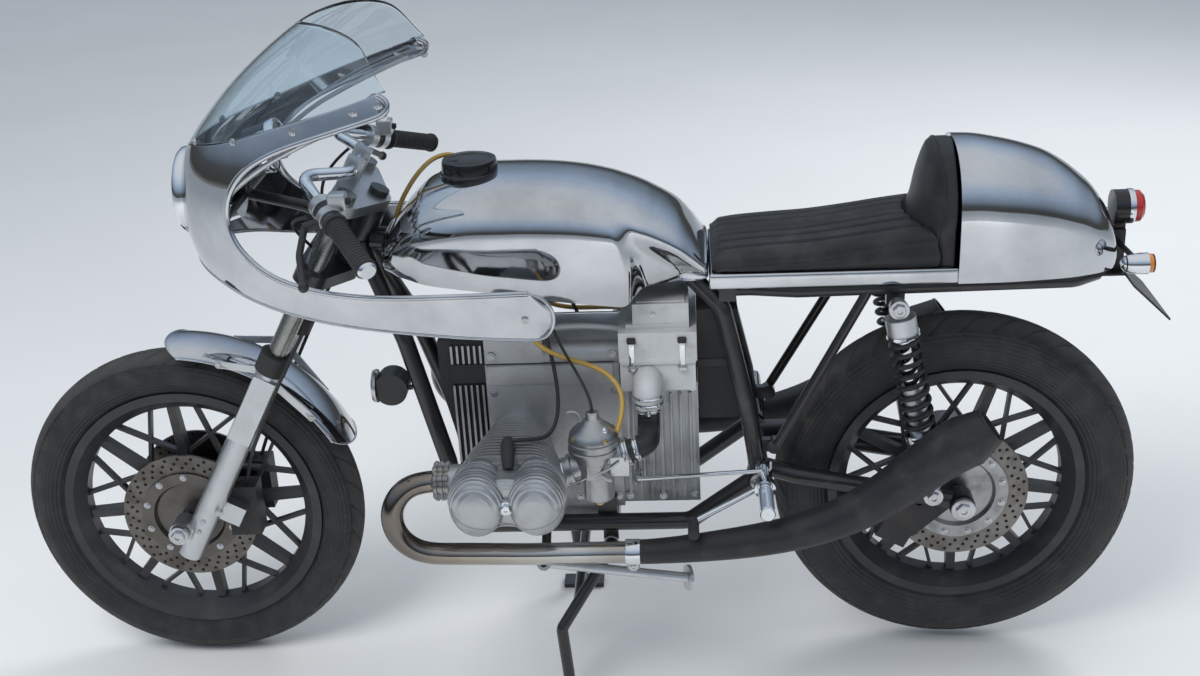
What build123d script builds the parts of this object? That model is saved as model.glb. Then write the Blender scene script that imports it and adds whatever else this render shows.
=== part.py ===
from build123d import *
import os
from math import cos, sin, radians, sqrt

# A half-faired cafe racer with a flat-twin engine, parked on its centre stand.
# Millimetres. X runs from the nose (-X) to the tail (+X), Y is across with the
# rider's left at -Y, Z is up from the floor. The origin is on the floor, halfway
# between the front of the front tyre and the tip of the number-plate bracket.

os.makedirs("parts", exist_ok=True)

# Driving dimensions
overall_length = 2143.0
wheelbase = 1465.0
front_tyre_radius = 329.0
front_tyre_width = 100.0
front_bead_radius = 243.0
rear_tyre_radius = 337.0
rear_tyre_width = 122.0
rear_bead_radius = 230.0
rear_wheel_lift = 16.0
steering_rake = 28.5
yoke_offset = 44.0
axle_lead = 31.0
fork_spacing = 200.0
fork_tube_radius = 18.0
rail_radius = 16.0
rail_spacing = 220.0
axle_radius = 8.5

# Fits and gaps
pin_clearance = 0.06
seat_gap = 0.3
slide_gap = 0.1

# Places worked out from the driving dimensions. The pieces are drawn from the front
# of the front tyre, and set down at the end with the origin halfway along.
nose_x = -1071.5
front_axle_x = nose_x + front_tyre_radius
rear_axle_x = front_axle_x + wheelbase
front_axle = Vector(front_axle_x, 0, front_tyre_radius)
rear_axle = Vector(rear_axle_x, 0, rear_tyre_radius + rear_wheel_lift)
tail_tip_x = nose_x + overall_length
rail_y = rail_spacing / 2
fork_y = fork_spacing / 2

# The steering axis, leaning back by the rake. In this plane Z is up the axis,
# X is towards the rear across it, and the fork tubes stand at X = -yoke_offset.
lean = radians(steering_rake)
axis_up = Vector(sin(lean), 0, cos(lean))
axis_back = Vector(cos(lean), 0, -sin(lean))
axle_offset = yoke_offset + axle_lead
steering = Plane(
    origin=front_axle + axis_back * axle_offset, x_dir=axis_back, z_dir=axis_up
)
fork_x = -yoke_offset


def on_fork(across, along):
    """World point in the middle plane at a place in the steering frame."""
    return steering.from_local_coords(Vector(across, 0, along))


# Helpers used by many pieces


def run(points, radius, bend=20.0):
    """Adds a round bar along straight runs joined by arcs."""
    with BuildLine() as path:
        if len(points) == 2:
            Line(*points)
        else:
            FilletPolyline(*points, radius=bend)
    wire = path.wire()
    with BuildSketch(Plane(origin=wire @ 0, z_dir=wire % 0)) as section:
        Circle(radius)
    sweep(section.sketch, path=wire)


def rod(start, end, radius, end_radius=None, mode=Mode.ADD):
    """Adds or cuts a straight round rod, or a cone when the end radius differs."""
    first = Vector(*start)
    way = Vector(*end) - first
    where = Plane(origin=first, z_dir=way).location
    base = (Align.CENTER, Align.CENTER, Align.MIN)
    with Locations(where):
        if end_radius is None or end_radius == radius:
            Cylinder(radius, way.length, align=base, mode=mode)
        else:
            Cone(radius, end_radius, way.length, align=base, mode=mode)


def block(low, high, mode=Mode.ADD):
    """Adds or cuts a box between two corners."""
    size = [b - a for a, b in zip(low, high)]
    middle = [(a + b) / 2 for a, b in zip(low, high)]
    with Locations(Location(middle)):
        Box(*size, mode=mode)


def turned(centre, outline, mode=Mode.ADD):
    """Turns an outline of (across, radius) points about a cross axle."""
    section_plane = Plane(origin=centre, x_dir=(0, 1, 0), z_dir=(1, 0, 0))
    with BuildSketch(section_plane) as section:
        Polygon(*outline, align=None)
    revolve(section.sketch, axis=Axis(centre, (0, 1, 0)), mode=mode)


def side_plate(outline, low_y, high_y, mode=Mode.ADD):
    """Extrudes a side-view outline of (x, z) points between two Y values."""
    with BuildSketch(Plane(origin=(0, high_y, 0), x_dir=(1, 0, 0), z_dir=(0, -1, 0))) as face:
        Polygon(*outline, align=None)
    extrude(face.sketch, amount=high_y - low_y, mode=mode)


def arch_section(x, half_width, bottom, shoulder, top):
    """Cross section at a station: flat bottom, upright sides and an arched top."""
    with BuildSketch(Plane(origin=(x, 0, 0), x_dir=(0, 1, 0), z_dir=(1, 0, 0))) as section:
        with BuildLine():
            Polyline(
                (-half_width, shoulder), (-half_width, bottom),
                (half_width, bottom), (half_width, shoulder),
            )
            ThreePointArc((half_width, shoulder), (0, top), (-half_width, shoulder))
        make_face()
    return section.sketch


# Wheels

bead_lip = 9.0
flange_thickness = 5.5


def tyre(centre, radius, width, bead_radius):
    """Tyre section with round sides and crown, turned about the axle."""
    half = width / 2
    bead_half = half * 0.62
    lip_radius = bead_radius + bead_lip
    side_radius = bead_radius + (radius - bead_radius) * 0.46
    shoulder_half = half * 0.72
    shoulder_radius = radius - half * 0.34
    with BuildSketch(Plane(origin=centre, x_dir=(0, 1, 0), z_dir=(1, 0, 0))) as section:
        with BuildLine():
            Polyline(
                (-bead_half, lip_radius), (-bead_half, bead_radius),
                (bead_half, bead_radius), (bead_half, lip_radius),
            )
            ThreePointArc(
                (bead_half, lip_radius), (half, side_radius), (shoulder_half, shoulder_radius)
            )
            ThreePointArc(
                (shoulder_half, shoulder_radius), (0, radius), (-shoulder_half, shoulder_radius)
            )
            ThreePointArc(
                (-shoulder_half, shoulder_radius), (-half, side_radius), (-bead_half, lip_radius)
            )
        make_face()
    revolve(section.sketch, axis=Axis(centre, (0, 1, 0)))


def cast_wheel(centre, width, bead_radius, spokes, phase, hub_radius, hub_half):
    """Cast wheel: rim, thick radial spokes, thin crossed spokes and a bored hub."""
    bead_half = width / 2 * 0.62
    outer = bead_half + seat_gap + flange_thickness
    rim_radius = bead_radius - seat_gap
    inner_radius = bead_radius - 28
    lip_radius = bead_radius + bead_lip
    right = [
        (outer, inner_radius + 20), (outer, lip_radius),
        (bead_half + seat_gap, lip_radius), (bead_half + seat_gap, rim_radius),
        (18, rim_radius), (13, rim_radius - 15),
    ]
    left = [(-a, r) for a, r in reversed(right)]
    turned(centre, [(-15, inner_radius), (15, inner_radius)] + right + left)
    face = Plane(origin=centre, x_dir=(1, 0, 0), z_dir=(0, -1, 0))
    pitch = 360 / spokes
    thin_start = inner_radius + 5
    thin_end = inner_radius * 0.5
    with BuildSketch(face) as thick:
        with PolarLocations(0, spokes, start_angle=phase):
            Polygon(
                (hub_radius - 6, -11), (inner_radius + 6, -8),
                (inner_radius + 6, 8), (hub_radius - 6, 11), align=None,
            )
    extrude(thick.sketch, amount=11, both=True)
    with BuildSketch(face) as thin:
        for k in range(spokes):
            for way in (1, -1):
                rim_angle = radians(phase + k * pitch + way * pitch * 0.25)
                hub_angle = radians(phase + (k + way) * pitch)
                rim_point = Vector(cos(rim_angle), sin(rim_angle)) * thin_start
                hub_point = Vector(cos(hub_angle), sin(hub_angle)) * thin_end
                span = rim_point - hub_point
                middle = (rim_point + hub_point) * 0.5
                turn = Vector(1, 0).get_signed_angle(span, Vector(0, 0, 1))
                with Locations(middle):
                    Rectangle(span.length, 6.5, rotation=turn)
    extrude(thin.sketch, amount=7, both=True)
    rod(centre - Vector(0, hub_half, 0), centre + Vector(0, hub_half, 0), hub_radius)
    bore = axle_radius + pin_clearance
    reach = Vector(0, hub_half + 5, 0)
    rod(centre - reach, centre + reach, bore, mode=Mode.SUBTRACT)


front_spokes = 8
front_phase = 5.0
front_hub_radius = 34.0
front_hub_half = 46.0
rear_spokes = 9
rear_phase = -9.0
rear_hub_radius = 50.0
rear_hub_half = 56.0

with BuildPart() as front_tyre:
    tyre(front_axle, front_tyre_radius, front_tyre_width, front_bead_radius)

with BuildPart() as front_wheel:
    cast_wheel(
        front_axle, front_tyre_width, front_bead_radius,
        front_spokes, front_phase, front_hub_radius, front_hub_half,
    )

with BuildPart() as rear_tyre:
    tyre(rear_axle, rear_tyre_radius, rear_tyre_width, rear_bead_radius)

with BuildPart() as rear_wheel:
    cast_wheel(
        rear_axle, rear_tyre_width, rear_bead_radius,
        rear_spokes, rear_phase, rear_hub_radius, rear_hub_half,
    )

# Brake discs, each bolted to a dished carrier that sits on the hub's end face
disc_radius = 130.0
disc_inner_radius = 76.0
disc_thickness = 5.0
disc_stand_off = 3.5
carrier_thickness = 4.0
carrier_clear = disc_inner_radius + 20


def disc(centre, hub_half, side):
    """Flat friction ring outside the hub's end face."""
    near = (hub_half + disc_stand_off) * side
    far = near + disc_thickness * side
    turned(centre, [
        (near, disc_inner_radius), (far, disc_inner_radius),
        (far, disc_radius), (near, disc_radius),
    ])


def carrier(centre, hub_half, side):
    """Dished plate from the hub's end face out to the disc's outer face."""
    seat = hub_half
    face = hub_half + disc_stand_off + disc_thickness
    step = disc_inner_radius - 2
    profile = [
        (seat, 16), (seat, step - 5), (face, step), (face, disc_inner_radius + 17),
        (face + carrier_thickness, disc_inner_radius + 17),
        (face + carrier_thickness, step - 4), (seat + carrier_thickness, step - 9),
        (seat + carrier_thickness, 16),
    ]
    turned(centre, [(a * side, r) for a, r in profile])


with BuildPart() as front_discs:
    for side in (-1, 1):
        disc(front_axle, front_hub_half, side)
        carrier(front_axle, front_hub_half, side)

with BuildPart() as rear_disc:
    disc(rear_axle, rear_hub_half, -1)
    carrier(rear_axle, rear_hub_half, -1)

# Fork: axle, sliders, tubes, dust covers and yokes
slider_radius = 24.0
caliper_half = 22.0
caliper_outer = front_hub_half + disc_stand_off + disc_thickness / 2 + caliper_half
slider_bottom = -46.0
slider_top = 386.0
slider_bore_depth = 85.0
slider_face = 126.0
lug_radius = 21.0
lug_inner = 80.0
lug_outer = 122.0
lower_yoke_low = 580.0
lower_yoke_thickness = 26.0
lower_yoke_high = lower_yoke_low + lower_yoke_thickness
yoke_gap = 4.0
head_length = 115.0
head_low = lower_yoke_high + yoke_gap
head_high = head_low + head_length
upper_yoke_low = head_high + yoke_gap
upper_yoke_thickness = 20.0
upper_yoke_high = upper_yoke_low + upper_yoke_thickness
tube_top = upper_yoke_high + 15.0
stem_radius = 13.0
cover_height = 38.0
cover_radius = 29.0

with BuildPart() as front_axle_shaft:
    rod(front_axle - Vector(0, lug_outer + 6, 0), front_axle + Vector(0, lug_outer + 6, 0), axle_radius)
    for side in (-1, 1):
        rod(
            front_axle + Vector(0, side * lug_outer, 0),
            front_axle + Vector(0, side * (lug_outer + 10), 0), 14,
        )

with BuildPart(steering) as fork_sliders:
    base = (Align.CENTER, Align.CENTER, Align.MIN)
    for side in (-1, 1):
        with Locations((fork_x, side * fork_y, slider_bottom)):
            Cylinder(slider_radius, slider_top - slider_bottom, align=base)
        with Locations((fork_x, side * (slider_face - 16), 305)):
            Box(42, 32, 140)
        with Locations((-axle_offset + 20, side * (lug_inner + lug_outer) / 2, 0)):
            Box(36, lug_outer - lug_inner, 36)
        with Locations((fork_x + 38, side * (caliper_outer + seat_gap + 12), 69)):
            Box(52, 24, 40)
        with Locations(Location((-axle_offset, side * (lug_inner + lug_outer) / 2, 0), (90, 0, 0))):
            Cylinder(lug_radius, lug_outer - lug_inner)
        with Locations(Location((-axle_offset, side * (lug_inner + lug_outer) / 2, 0), (90, 0, 0))):
            Cylinder(axle_radius + slide_gap, lug_outer - lug_inner + 4, mode=Mode.SUBTRACT)
        with Locations((fork_x, side * fork_y, slider_top - slider_bore_depth)):
            Cylinder(fork_tube_radius + slide_gap, slider_bore_depth + 1, align=base, mode=Mode.SUBTRACT)

with BuildPart(steering) as fork_tubes:
    for side in (-1, 1):
        with Locations((fork_x, side * fork_y, slider_top - slider_bore_depth + 1)):
            Cylinder(fork_tube_radius, tube_top - slider_top + slider_bore_depth - 1, align=base)

with BuildPart(steering) as dust_covers:
    for side in (-1, 1):
        with Locations((fork_x, side * fork_y, slider_top)):
            Cylinder(cover_radius, cover_height, align=base)
            Cylinder(fork_tube_radius + slide_gap, cover_height, align=base, mode=Mode.SUBTRACT)

with BuildPart() as lower_yoke:
    with BuildSketch(steering.offset(lower_yoke_low)) as plan:
        with Locations((fork_x, -fork_y), (fork_x, fork_y)):
            Circle(30)
        Circle(26)
        make_hull()
    extrude(plan.sketch, amount=lower_yoke_high - lower_yoke_low)
    for side in (-1, 1):
        centre = steering.from_local_coords(Vector(fork_x, side * fork_y, lower_yoke_low - 1))
        rod(
            centre, centre + axis_up * (lower_yoke_high - lower_yoke_low + 2),
            fork_tube_radius + slide_gap, mode=Mode.SUBTRACT,
        )
    rod(on_fork(0, lower_yoke_high - 1), on_fork(0, upper_yoke_high + 1), stem_radius)
    rod(on_fork(0, lower_yoke_high - 1), on_fork(0, head_low - 0.5), 22)
    rod(on_fork(0, upper_yoke_high), on_fork(0, upper_yoke_high + 12), 18)

bar_radius = 11.0
bar_centre = Vector(-350, 0, 1012)
bar_clamp_y = 34.0
bar_clamp = steering.to_local_coords(bar_centre)

with BuildPart() as upper_yoke:
    with BuildSketch(steering.offset(upper_yoke_low)) as plan:
        with Locations((fork_x, -fork_y), (fork_x, fork_y)):
            Circle(28)
        Circle(26)
        make_hull()
    extrude(plan.sketch, amount=upper_yoke_high - upper_yoke_low)
    for side in (-1, 1):
        with Locations(steering.location * Location(
            (bar_clamp.X, side * bar_clamp_y, (upper_yoke_high + bar_clamp.Z + 17) / 2)
        )):
            Box(32, 22, bar_clamp.Z + 17 - upper_yoke_high)
    rod(on_fork(0, head_high + 0.5), on_fork(0, upper_yoke_low + 1), 20)
    reach = upper_yoke_high - upper_yoke_low + 2
    for side in (-1, 1):
        centre = steering.from_local_coords(Vector(fork_x, side * fork_y, upper_yoke_low - 1))
        rod(centre, centre + axis_up * reach, fork_tube_radius + slide_gap, mode=Mode.SUBTRACT)
    rod(on_fork(0, head_high), on_fork(0, upper_yoke_high), stem_radius + slide_gap, mode=Mode.SUBTRACT)
    rod(
        bar_centre - Vector(0, 60, 0), bar_centre + Vector(0, 60, 0),
        bar_radius + slide_gap, mode=Mode.SUBTRACT,
    )

# Handlebar: one bar that runs forward from the yoke, then down and back to the grips
bar_bend = Vector(-420, -134, 1030)
bar_end = Vector(-278, -350, 941)
bar_way = (bar_end - bar_bend).normalized()
grip_length = 125.0
grip_radius = 16.5


def mirrored(point):
    """The same point on the other side of the bike."""
    return Vector(point.X, -point.Y, point.Z)


def along_bar(distance):
    """Point on the left end of the bar, measured inwards from its tip."""
    return bar_end - bar_way * distance


with BuildPart() as handlebar:
    shoulder = Vector(bar_centre.X, -bar_clamp_y - 34, bar_centre.Z)
    left = [bar_end, bar_bend, shoulder]
    run(left + [mirrored(p) for p in reversed(left)], bar_radius, 34)

with BuildPart() as grips:
    for flip in (lambda p: p, mirrored):
        rod(flip(along_bar(0)), flip(along_bar(grip_length)), grip_radius)
        rod(flip(along_bar(-1)), flip(along_bar(grip_length + 1)), bar_radius + slide_gap, mode=Mode.SUBTRACT)
        rod(flip(along_bar(0)), flip(along_bar(-12)), 18, 15)

with BuildPart() as hand_levers:
    for flip in (lambda p: p, mirrored):
        inner = along_bar(grip_length + 14)
        outer = along_bar(grip_length + 56)
        rod(flip(inner), flip(outer), 19)
        front = inner + Vector(-46, 0, -14)
        rod(flip(inner + Vector(-8, 0, -2)), flip(front), 9)
        run([
            flip(front), flip(front + Vector(2, -60, -26)), flip(front + Vector(18, -118, -58)),
        ], 6, 60)
        with Locations(Location(flip(front + Vector(18, -118, -58)))):
            Sphere(9)
        rod(flip(inner + bar_way * 14), flip(outer - bar_way * 14), bar_radius + slide_gap, mode=Mode.SUBTRACT)

# Front mudguard: a crowned strip turned round the tyre, held by stays to the sliders
guard_gap = 25.0
guard_drop = 18.0
guard_radius = front_tyre_radius + guard_gap
guard_edge_radius = guard_radius - guard_drop
guard_half_width = 61.0
guard_thickness = 2.5
guard_start = 22.0
guard_sweep = 69.0
stay_angles = (38.0, 72.0)

with BuildPart() as front_mudguard:
    start_way = Vector(cos(radians(guard_start)), 0, sin(radians(guard_start)))
    with BuildSketch(Plane(origin=front_axle, x_dir=(0, 1, 0), z_dir=Vector(0, 1, 0).cross(start_way))) as section:
        with BuildLine():
            outer = ThreePointArc(
                (-guard_half_width, guard_edge_radius), (0, guard_radius),
                (guard_half_width, guard_edge_radius),
            )
            inner = ThreePointArc(
                (-guard_half_width, guard_edge_radius - guard_thickness),
                (0, guard_radius - guard_thickness),
                (guard_half_width, guard_edge_radius - guard_thickness),
            )
            Line(outer @ 0, inner @ 0)
            Line(outer @ 1, inner @ 1)
        make_face()
    revolve(section.sketch, axis=Axis(front_axle, (0, -1, 0)), revolution_arc=guard_sweep)

    for side in (-1, 1):
        for along, angle in zip((352, 372), stay_angles):
            foot = steering.from_local_coords(Vector(fork_x + 6, side * (fork_y - slider_radius - 2.6), along))
            edge = front_axle + Vector(cos(radians(angle)), 0, sin(radians(angle))) * (guard_edge_radius - 1.5)
            edge = Vector(edge.X, side * (guard_half_width - 1.0), edge.Z)
            rod(foot, edge, 3)

# Front brake calipers, behind the sliders
with BuildPart() as front_calipers:
    for side in (-1, 1):
        middle = front_hub_half + disc_stand_off + disc_thickness / 2
        centre = front_axle + Vector(112, side * middle, 18)
        with Locations(Location(centre)):
            Box(58, 2 * caliper_half, 104)
        gap = disc_thickness / 2 + 1.5
        turned(front_axle, [
            (side * (middle - gap), 20), (side * (middle + gap), 20),
            (side * (middle + gap), disc_radius + 2), (side * (middle - gap), disc_radius + 2),
        ], mode=Mode.SUBTRACT)
        turned(front_axle, [
            (side * (middle - 12), 20), (side * (middle + 10), 20),
            (side * (middle + 10), carrier_clear), (side * (middle - 12), carrier_clear),
        ], mode=Mode.SUBTRACT)

# Frame: twin-loop cradle, steering head, lugs
lower_rail_z = 330.0
pivot = Vector(352, 0, 425)
pivot_tube_radius = 19.0
strut_lug = Vector(380, 0, 487)
stand_pivot = Vector(75, 0, 288)
stand_pin_radius = 6.0
seat_lug_x = 315.0
seat_rail_radius = 12.0
tunnel_top = 882.0
pan_bottom = 795.0
seat_rail_z = pan_bottom - seat_rail_radius - seat_gap
side_stand_pivot = Vector(-45, -196, 296)
side_stand_axis = Vector(0.0315, 0.9341, -0.3556).normalized()
side_stand_travel = 90.0
pivot_half = 96.0
pivot_outer = 130.0
stand_pin_y = 139.0

with BuildPart() as main_frame:
    for side in (-1, 1):
        run([
            (-358, side * 14, 862), (-286, side * 60, 690), (-222, side * 92, 457),
            (-204, side * rail_y, lower_rail_z), (223, side * rail_y, lower_rail_z),
            (pivot.X, side * (rail_y + 2), pivot.Z), (336, side * (rail_y + 2), 541),
            (290, side * 88, 750), (225, side * 60, 812), (150, side * 22, 832),
            (-338, side * 14, 868),
        ], rail_radius, 36)
        rod((strut_lug.X, side * 104, strut_lug.Z), (strut_lug.X, side * 118, strut_lug.Z), 14)
        block(
            (pivot.X - 8, side * 111 - 7, strut_lug.Z - 12), (strut_lug.X, side * 111 + 7, strut_lug.Z + 12)
        )
        block((285, side * 88 - 12, 764), (seat_lug_x, side * 88 + 12, pan_bottom - 1))
        block(
            (stand_pivot.X - 14, side * rail_y - 5, stand_pivot.Z - 14),
            (stand_pivot.X + 14, side * rail_y + 5, lower_rail_z),
        )
        for x in (-130, 70):
            block((x - 18, side * 96 - 8, 326), (x + 18, side * 96 + 8, 380))
        rod((pivot.X, side * pivot_half, pivot.Z), (pivot.X, side * pivot_outer, pivot.Z), 22)
        rod(
            (stand_pivot.X, side * rail_y, stand_pivot.Z),
            (stand_pivot.X, side * stand_pin_y, stand_pivot.Z), stand_pin_radius,
        )
    boss = side_stand_pivot + side_stand_axis * 10
    rod(boss, boss + side_stand_axis * 20, 13)
    rod(boss + side_stand_axis * 15, (side_stand_pivot.X, -rail_y, lower_rail_z - 4), 9)
    rod(boss + side_stand_axis * 2, side_stand_pivot - side_stand_axis * 13, stand_pin_radius)
    rod(on_fork(0, head_low), on_fork(0, head_high), 26)
    rod(on_fork(-34, 668), on_fork(0, 668), 14)
    block((-262, -30, 858), (-238, 30, tunnel_top - seat_gap))
    rod(on_fork(0, head_low - 1), on_fork(0, head_high + 1), stem_radius + pin_clearance, mode=Mode.SUBTRACT)

# Swingarm, final drive and rear axle
arm_radius = 17.0
drive_arm_radius = 24.0
axle_lug_inner = 82.0
axle_lug_outer = 118.0
drive_joint_distance = 82.0
drive_inner = 62.0
drive_outer = 128.0
shock_top = Vector(591, 0, 764)
shock_bottom = rear_axle + Vector(-60.5, 0, 45)
shock_y = 146.0
shock_pin_radius = 7.0
shock_eye_half = 10.0

drive_elbow = Vector(440, 97, 407)
drive_centre = rear_axle + Vector(0, 97, 0)
drive_joint = drive_centre + (drive_elbow - drive_centre).normalized() * drive_joint_distance

def shock_lug(side):
    """Lower shock mount: a block on the arm with its pin."""
    block((shock_bottom.X - 12, side * 106 - 10, 366), (shock_bottom.X + 12, side * 106 + 10, 410))
    rod(
        (shock_bottom.X, side * 112, shock_bottom.Z),
        (shock_bottom.X, side * (shock_y + 14), shock_bottom.Z), shock_pin_radius,
    )


with BuildPart() as swingarm:
    arm_half = pivot_half - 2 * seat_gap
    rod((pivot.X, -arm_half, pivot.Z), (pivot.X, arm_half, pivot.Z), pivot_tube_radius)
    run([(pivot.X, -72, pivot.Z), (425, -88, 409), rear_axle + Vector(0, -100, 0)], arm_radius, 60)
    run([(pivot.X, 56, pivot.Z), drive_elbow, drive_joint], drive_arm_radius, 60)
    rod(rear_axle + Vector(0, -axle_lug_outer, 0), rear_axle + Vector(0, -axle_lug_inner, 0), 24)
    shock_lug(-1)
    rod(
        rear_axle + Vector(0, -axle_lug_outer - 20, 0), rear_axle + Vector(0, -60, 0),
        axle_radius + slide_gap, mode=Mode.SUBTRACT,
    )

with BuildPart() as final_drive:
    rod(rear_axle + Vector(0, drive_inner, 0), rear_axle + Vector(0, drive_outer, 0), 76)
    rod(drive_joint, rear_axle + Vector(0, 97, 0), drive_arm_radius, 30)
    shock_lug(1)
    rod(
        rear_axle + Vector(0, drive_inner - 1, 0), rear_axle + Vector(0, drive_outer + 1, 0),
        axle_radius + slide_gap, mode=Mode.SUBTRACT,
    )

with BuildPart() as rear_axle_shaft:
    rod(
        rear_axle - Vector(0, axle_lug_outer + 8, 0), rear_axle + Vector(0, drive_outer + 8, 0),
        axle_radius,
    )
    rod(rear_axle - Vector(0, axle_lug_outer + 12, 0), rear_axle - Vector(0, axle_lug_outer, 0), 15)
    rod(rear_axle + Vector(0, drive_outer, 0), rear_axle + Vector(0, drive_outer + 12, 0), 15)

with BuildPart() as rear_caliper:
    middle = -(rear_hub_half + disc_stand_off + disc_thickness / 2)
    rod(rear_axle + Vector(0, -axle_lug_inner, 0), rear_axle + Vector(0, -76, 0), 22)
    side_plate([
        (rear_axle_x - 8, 337), (rear_axle_x + 6, 369), (rear_axle_x - 82.5, 330),
        (rear_axle_x - 126.5, 322), (rear_axle_x - 114.5, 276), (rear_axle_x - 82.5, 270),
    ], -axle_lug_inner, -76)
    with Locations(Location((rear_axle_x - 104.5, middle, 300), (0, 28, 0))):
        Box(60, 40, 92)
    gap = disc_thickness / 2 + 1.5
    turned(rear_axle, [
        (middle - gap, 20), (middle + gap, 20),
        (middle + gap, disc_radius + 3), (middle - gap, disc_radius + 3),
    ], mode=Mode.SUBTRACT)
    turned(rear_axle, [
        (middle + 12, 30), (middle - 10, 30), (middle - 10, carrier_clear), (middle + 12, carrier_clear),
    ], mode=Mode.SUBTRACT)
    rod(
        rear_axle + Vector(0, -90, 0), rear_axle + Vector(0, -40, 0),
        axle_radius + slide_gap, mode=Mode.SUBTRACT,
    )

# Twin shocks: a damper with eyes, and a coil stood round it
shock_way = (shock_bottom - shock_top).normalized()
shock_length = (shock_bottom - shock_top).length


def on_shock(distance, side):
    """Point on a shock's centre line, measured down from its top eye."""
    return shock_top + shock_way * distance + Vector(0, side * shock_y, 0)


spring_turns = 9
spring_start = 58.0
spring_pitch = 20.0
spring_wire = 4.5
spring_radius = 27.0

with BuildPart() as shock_bodies:
    for side in (-1, 1):
        for eye in (shock_top, shock_bottom):
            rod(
                eye + Vector(0, side * (shock_y - shock_eye_half), 0),
                eye + Vector(0, side * (shock_y + shock_eye_half), 0), 15,
            )
        rod(on_shock(8, side), on_shock(shock_length - 8, side), 9)
        rod(on_shock(18, side), on_shock(52, side), 27)
        rod(on_shock(150, side), on_shock(shock_length - 16, side), 20)
        rod(on_shock(248, side), on_shock(262, side), 27)
        for eye in (shock_top, shock_bottom):
            rod(
                eye + Vector(0, side * (shock_y - 30), 0), eye + Vector(0, side * (shock_y + 30), 0),
                shock_pin_radius + slide_gap, mode=Mode.SUBTRACT,
            )

with BuildPart() as shock_springs:
    for side in (-1, 1):
        rod(on_shock(52, side), on_shock(248, side), 24)
        for k in range(spring_turns):
            at = spring_start + 4 + spring_pitch * k
            if at < 240:
                rod(on_shock(at, side), on_shock(at + 9, side), spring_radius + 2)
        rod(on_shock(51, side), on_shock(249, side), 20 + seat_gap, mode=Mode.SUBTRACT)

# Rear subframe under the seat
rail_start_y = 88.0
rail_mid_y = 104.0
rail_end_x = tail_tip_x - 126.5

with BuildPart() as rear_subframe:
    for side in (-1, 1):
        run([
            (seat_lug_x, side * rail_start_y, seat_rail_z), (340, side * rail_start_y, seat_rail_z),
            (420, side * rail_mid_y, seat_rail_z),
            (rail_end_x - 45, side * 92, seat_rail_z), (rail_end_x, side * 60, seat_rail_z),
        ], seat_rail_radius, 36)
        eye = Vector(strut_lug.X, 0, strut_lug.Z)
        strut_way = Vector(544 - eye.X, 0, 770 - eye.Z).normalized()
        rod(eye + Vector(0, side * 118, 0), eye + Vector(0, side * 124, 0), 14)
        foot = eye + strut_way * 8
        rod((foot.X, side * 128, foot.Z), (544, side * rail_mid_y, seat_rail_z - 3), 9)
        block((shock_top.X - 16, side * 100 - 7, 752), (shock_top.X + 16, side * 100 + 7, seat_rail_z))
        rod(
            (shock_top.X, side * 104, shock_top.Z),
            (shock_top.X, side * (shock_y + 14), shock_top.Z), shock_pin_radius,
        )
    rod((500, -rail_mid_y, seat_rail_z), (500, rail_mid_y, seat_rail_z), 10)
    hanger_z = seat_rail_z - (seat_rail_radius - 10.05)
    rod((rail_end_x - 9, -68, hanger_z), (rail_end_x - 9, 68, hanger_z), 10)

# Engine: one plain block, with its covers, cylinders and heads round it
crank_z = 497.0
block_half = 88.0
block_front = -140.0
block_rear = 103.0
block_low = 352.0
block_high = 646.0
top_high = 696.0
starter_front = -34.0
starter_half = 84.0
starter_depth = 56.0
starter_z = 654.0
cylinder_x = -85.0
cylinder_stagger = 30.0
barrel_end = 212.0
head_end = 290.0
cover_end = 373.0
carb_y = 229.0
carb_z = 494.0
carb_way = Vector(0.945, 0, 0.327).normalized()
carb_start = 34.0
carb_end = 146.0
port_y = 258.0
port_z = 505.0
sides = ((-1, cylinder_x), (1, cylinder_x + cylinder_stagger))



def on_carb(side, x, along):
    """Point on a carburettor's axis, measured from the cylinder head's inlet face."""
    return Vector(x + 70, side * carb_y, carb_z) + carb_way * along


with BuildPart() as engine_block:
    block((block_front, -block_half, block_low), (block_rear, block_half, block_high))
    block((block_front, -block_half + 4, block_high), (starter_front, block_half - 4, top_high))
    with BuildSketch(Plane(origin=(starter_front, 0, starter_z), x_dir=(0, 1, 0), z_dir=(1, 0, 0))) as tube:
        SlotOverall(2 * starter_half, starter_depth)
    extrude(tube.sketch, amount=block_rear - starter_front)
    block((-120, -80, 304), (90, 80, block_low))
    for k in range(9):
        block((-118, -74 + 17.5 * k, 298), (88, -68 + 17.5 * k, 306))

rib_front = -202.0
ribs = 6
rib_pitch = 10.5
rib_thickness = 4.0
band_low = 611.0
band_high = 648.0

with BuildPart() as front_cover:
    side_plate([
        (block_front, block_low), (-198, block_low), (-198, 440), (-205, 500), (-226, 600), (-226, 690),
        (block_front, 690),
    ], -72, 72)
    block((rib_front, -80, 440), (block_front, 80, 690))
    block((rib_front, -85, band_low), (block_front, 85, band_high))
    for k in range(ribs):
        near = rib_front + 1 + rib_pitch * k
        for low, high in ((450, band_low - 3), (band_high + 3, 686)):
            block((near, -block_half, low), (near + rib_thickness, block_half, high))

gearbox_top = crank_z + 103.0

with BuildPart() as gearbox:
    block((block_rear, -80, 356), (244, 80, gearbox_top))
    for k in range(7):
        block((112 + 20 * k, -86, 362), (118 + 20 * k, 86, 596))

case_depth = 58.0
lid_depth = 56.0
lid_split = gearbox_top + case_depth
lid_top = lid_split + lid_depth
spigot_end = Vector(155, 146, gearbox_top - 12)
spigots = ((-1, spigot_end.X), (1, spigot_end.X + 30))

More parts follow.
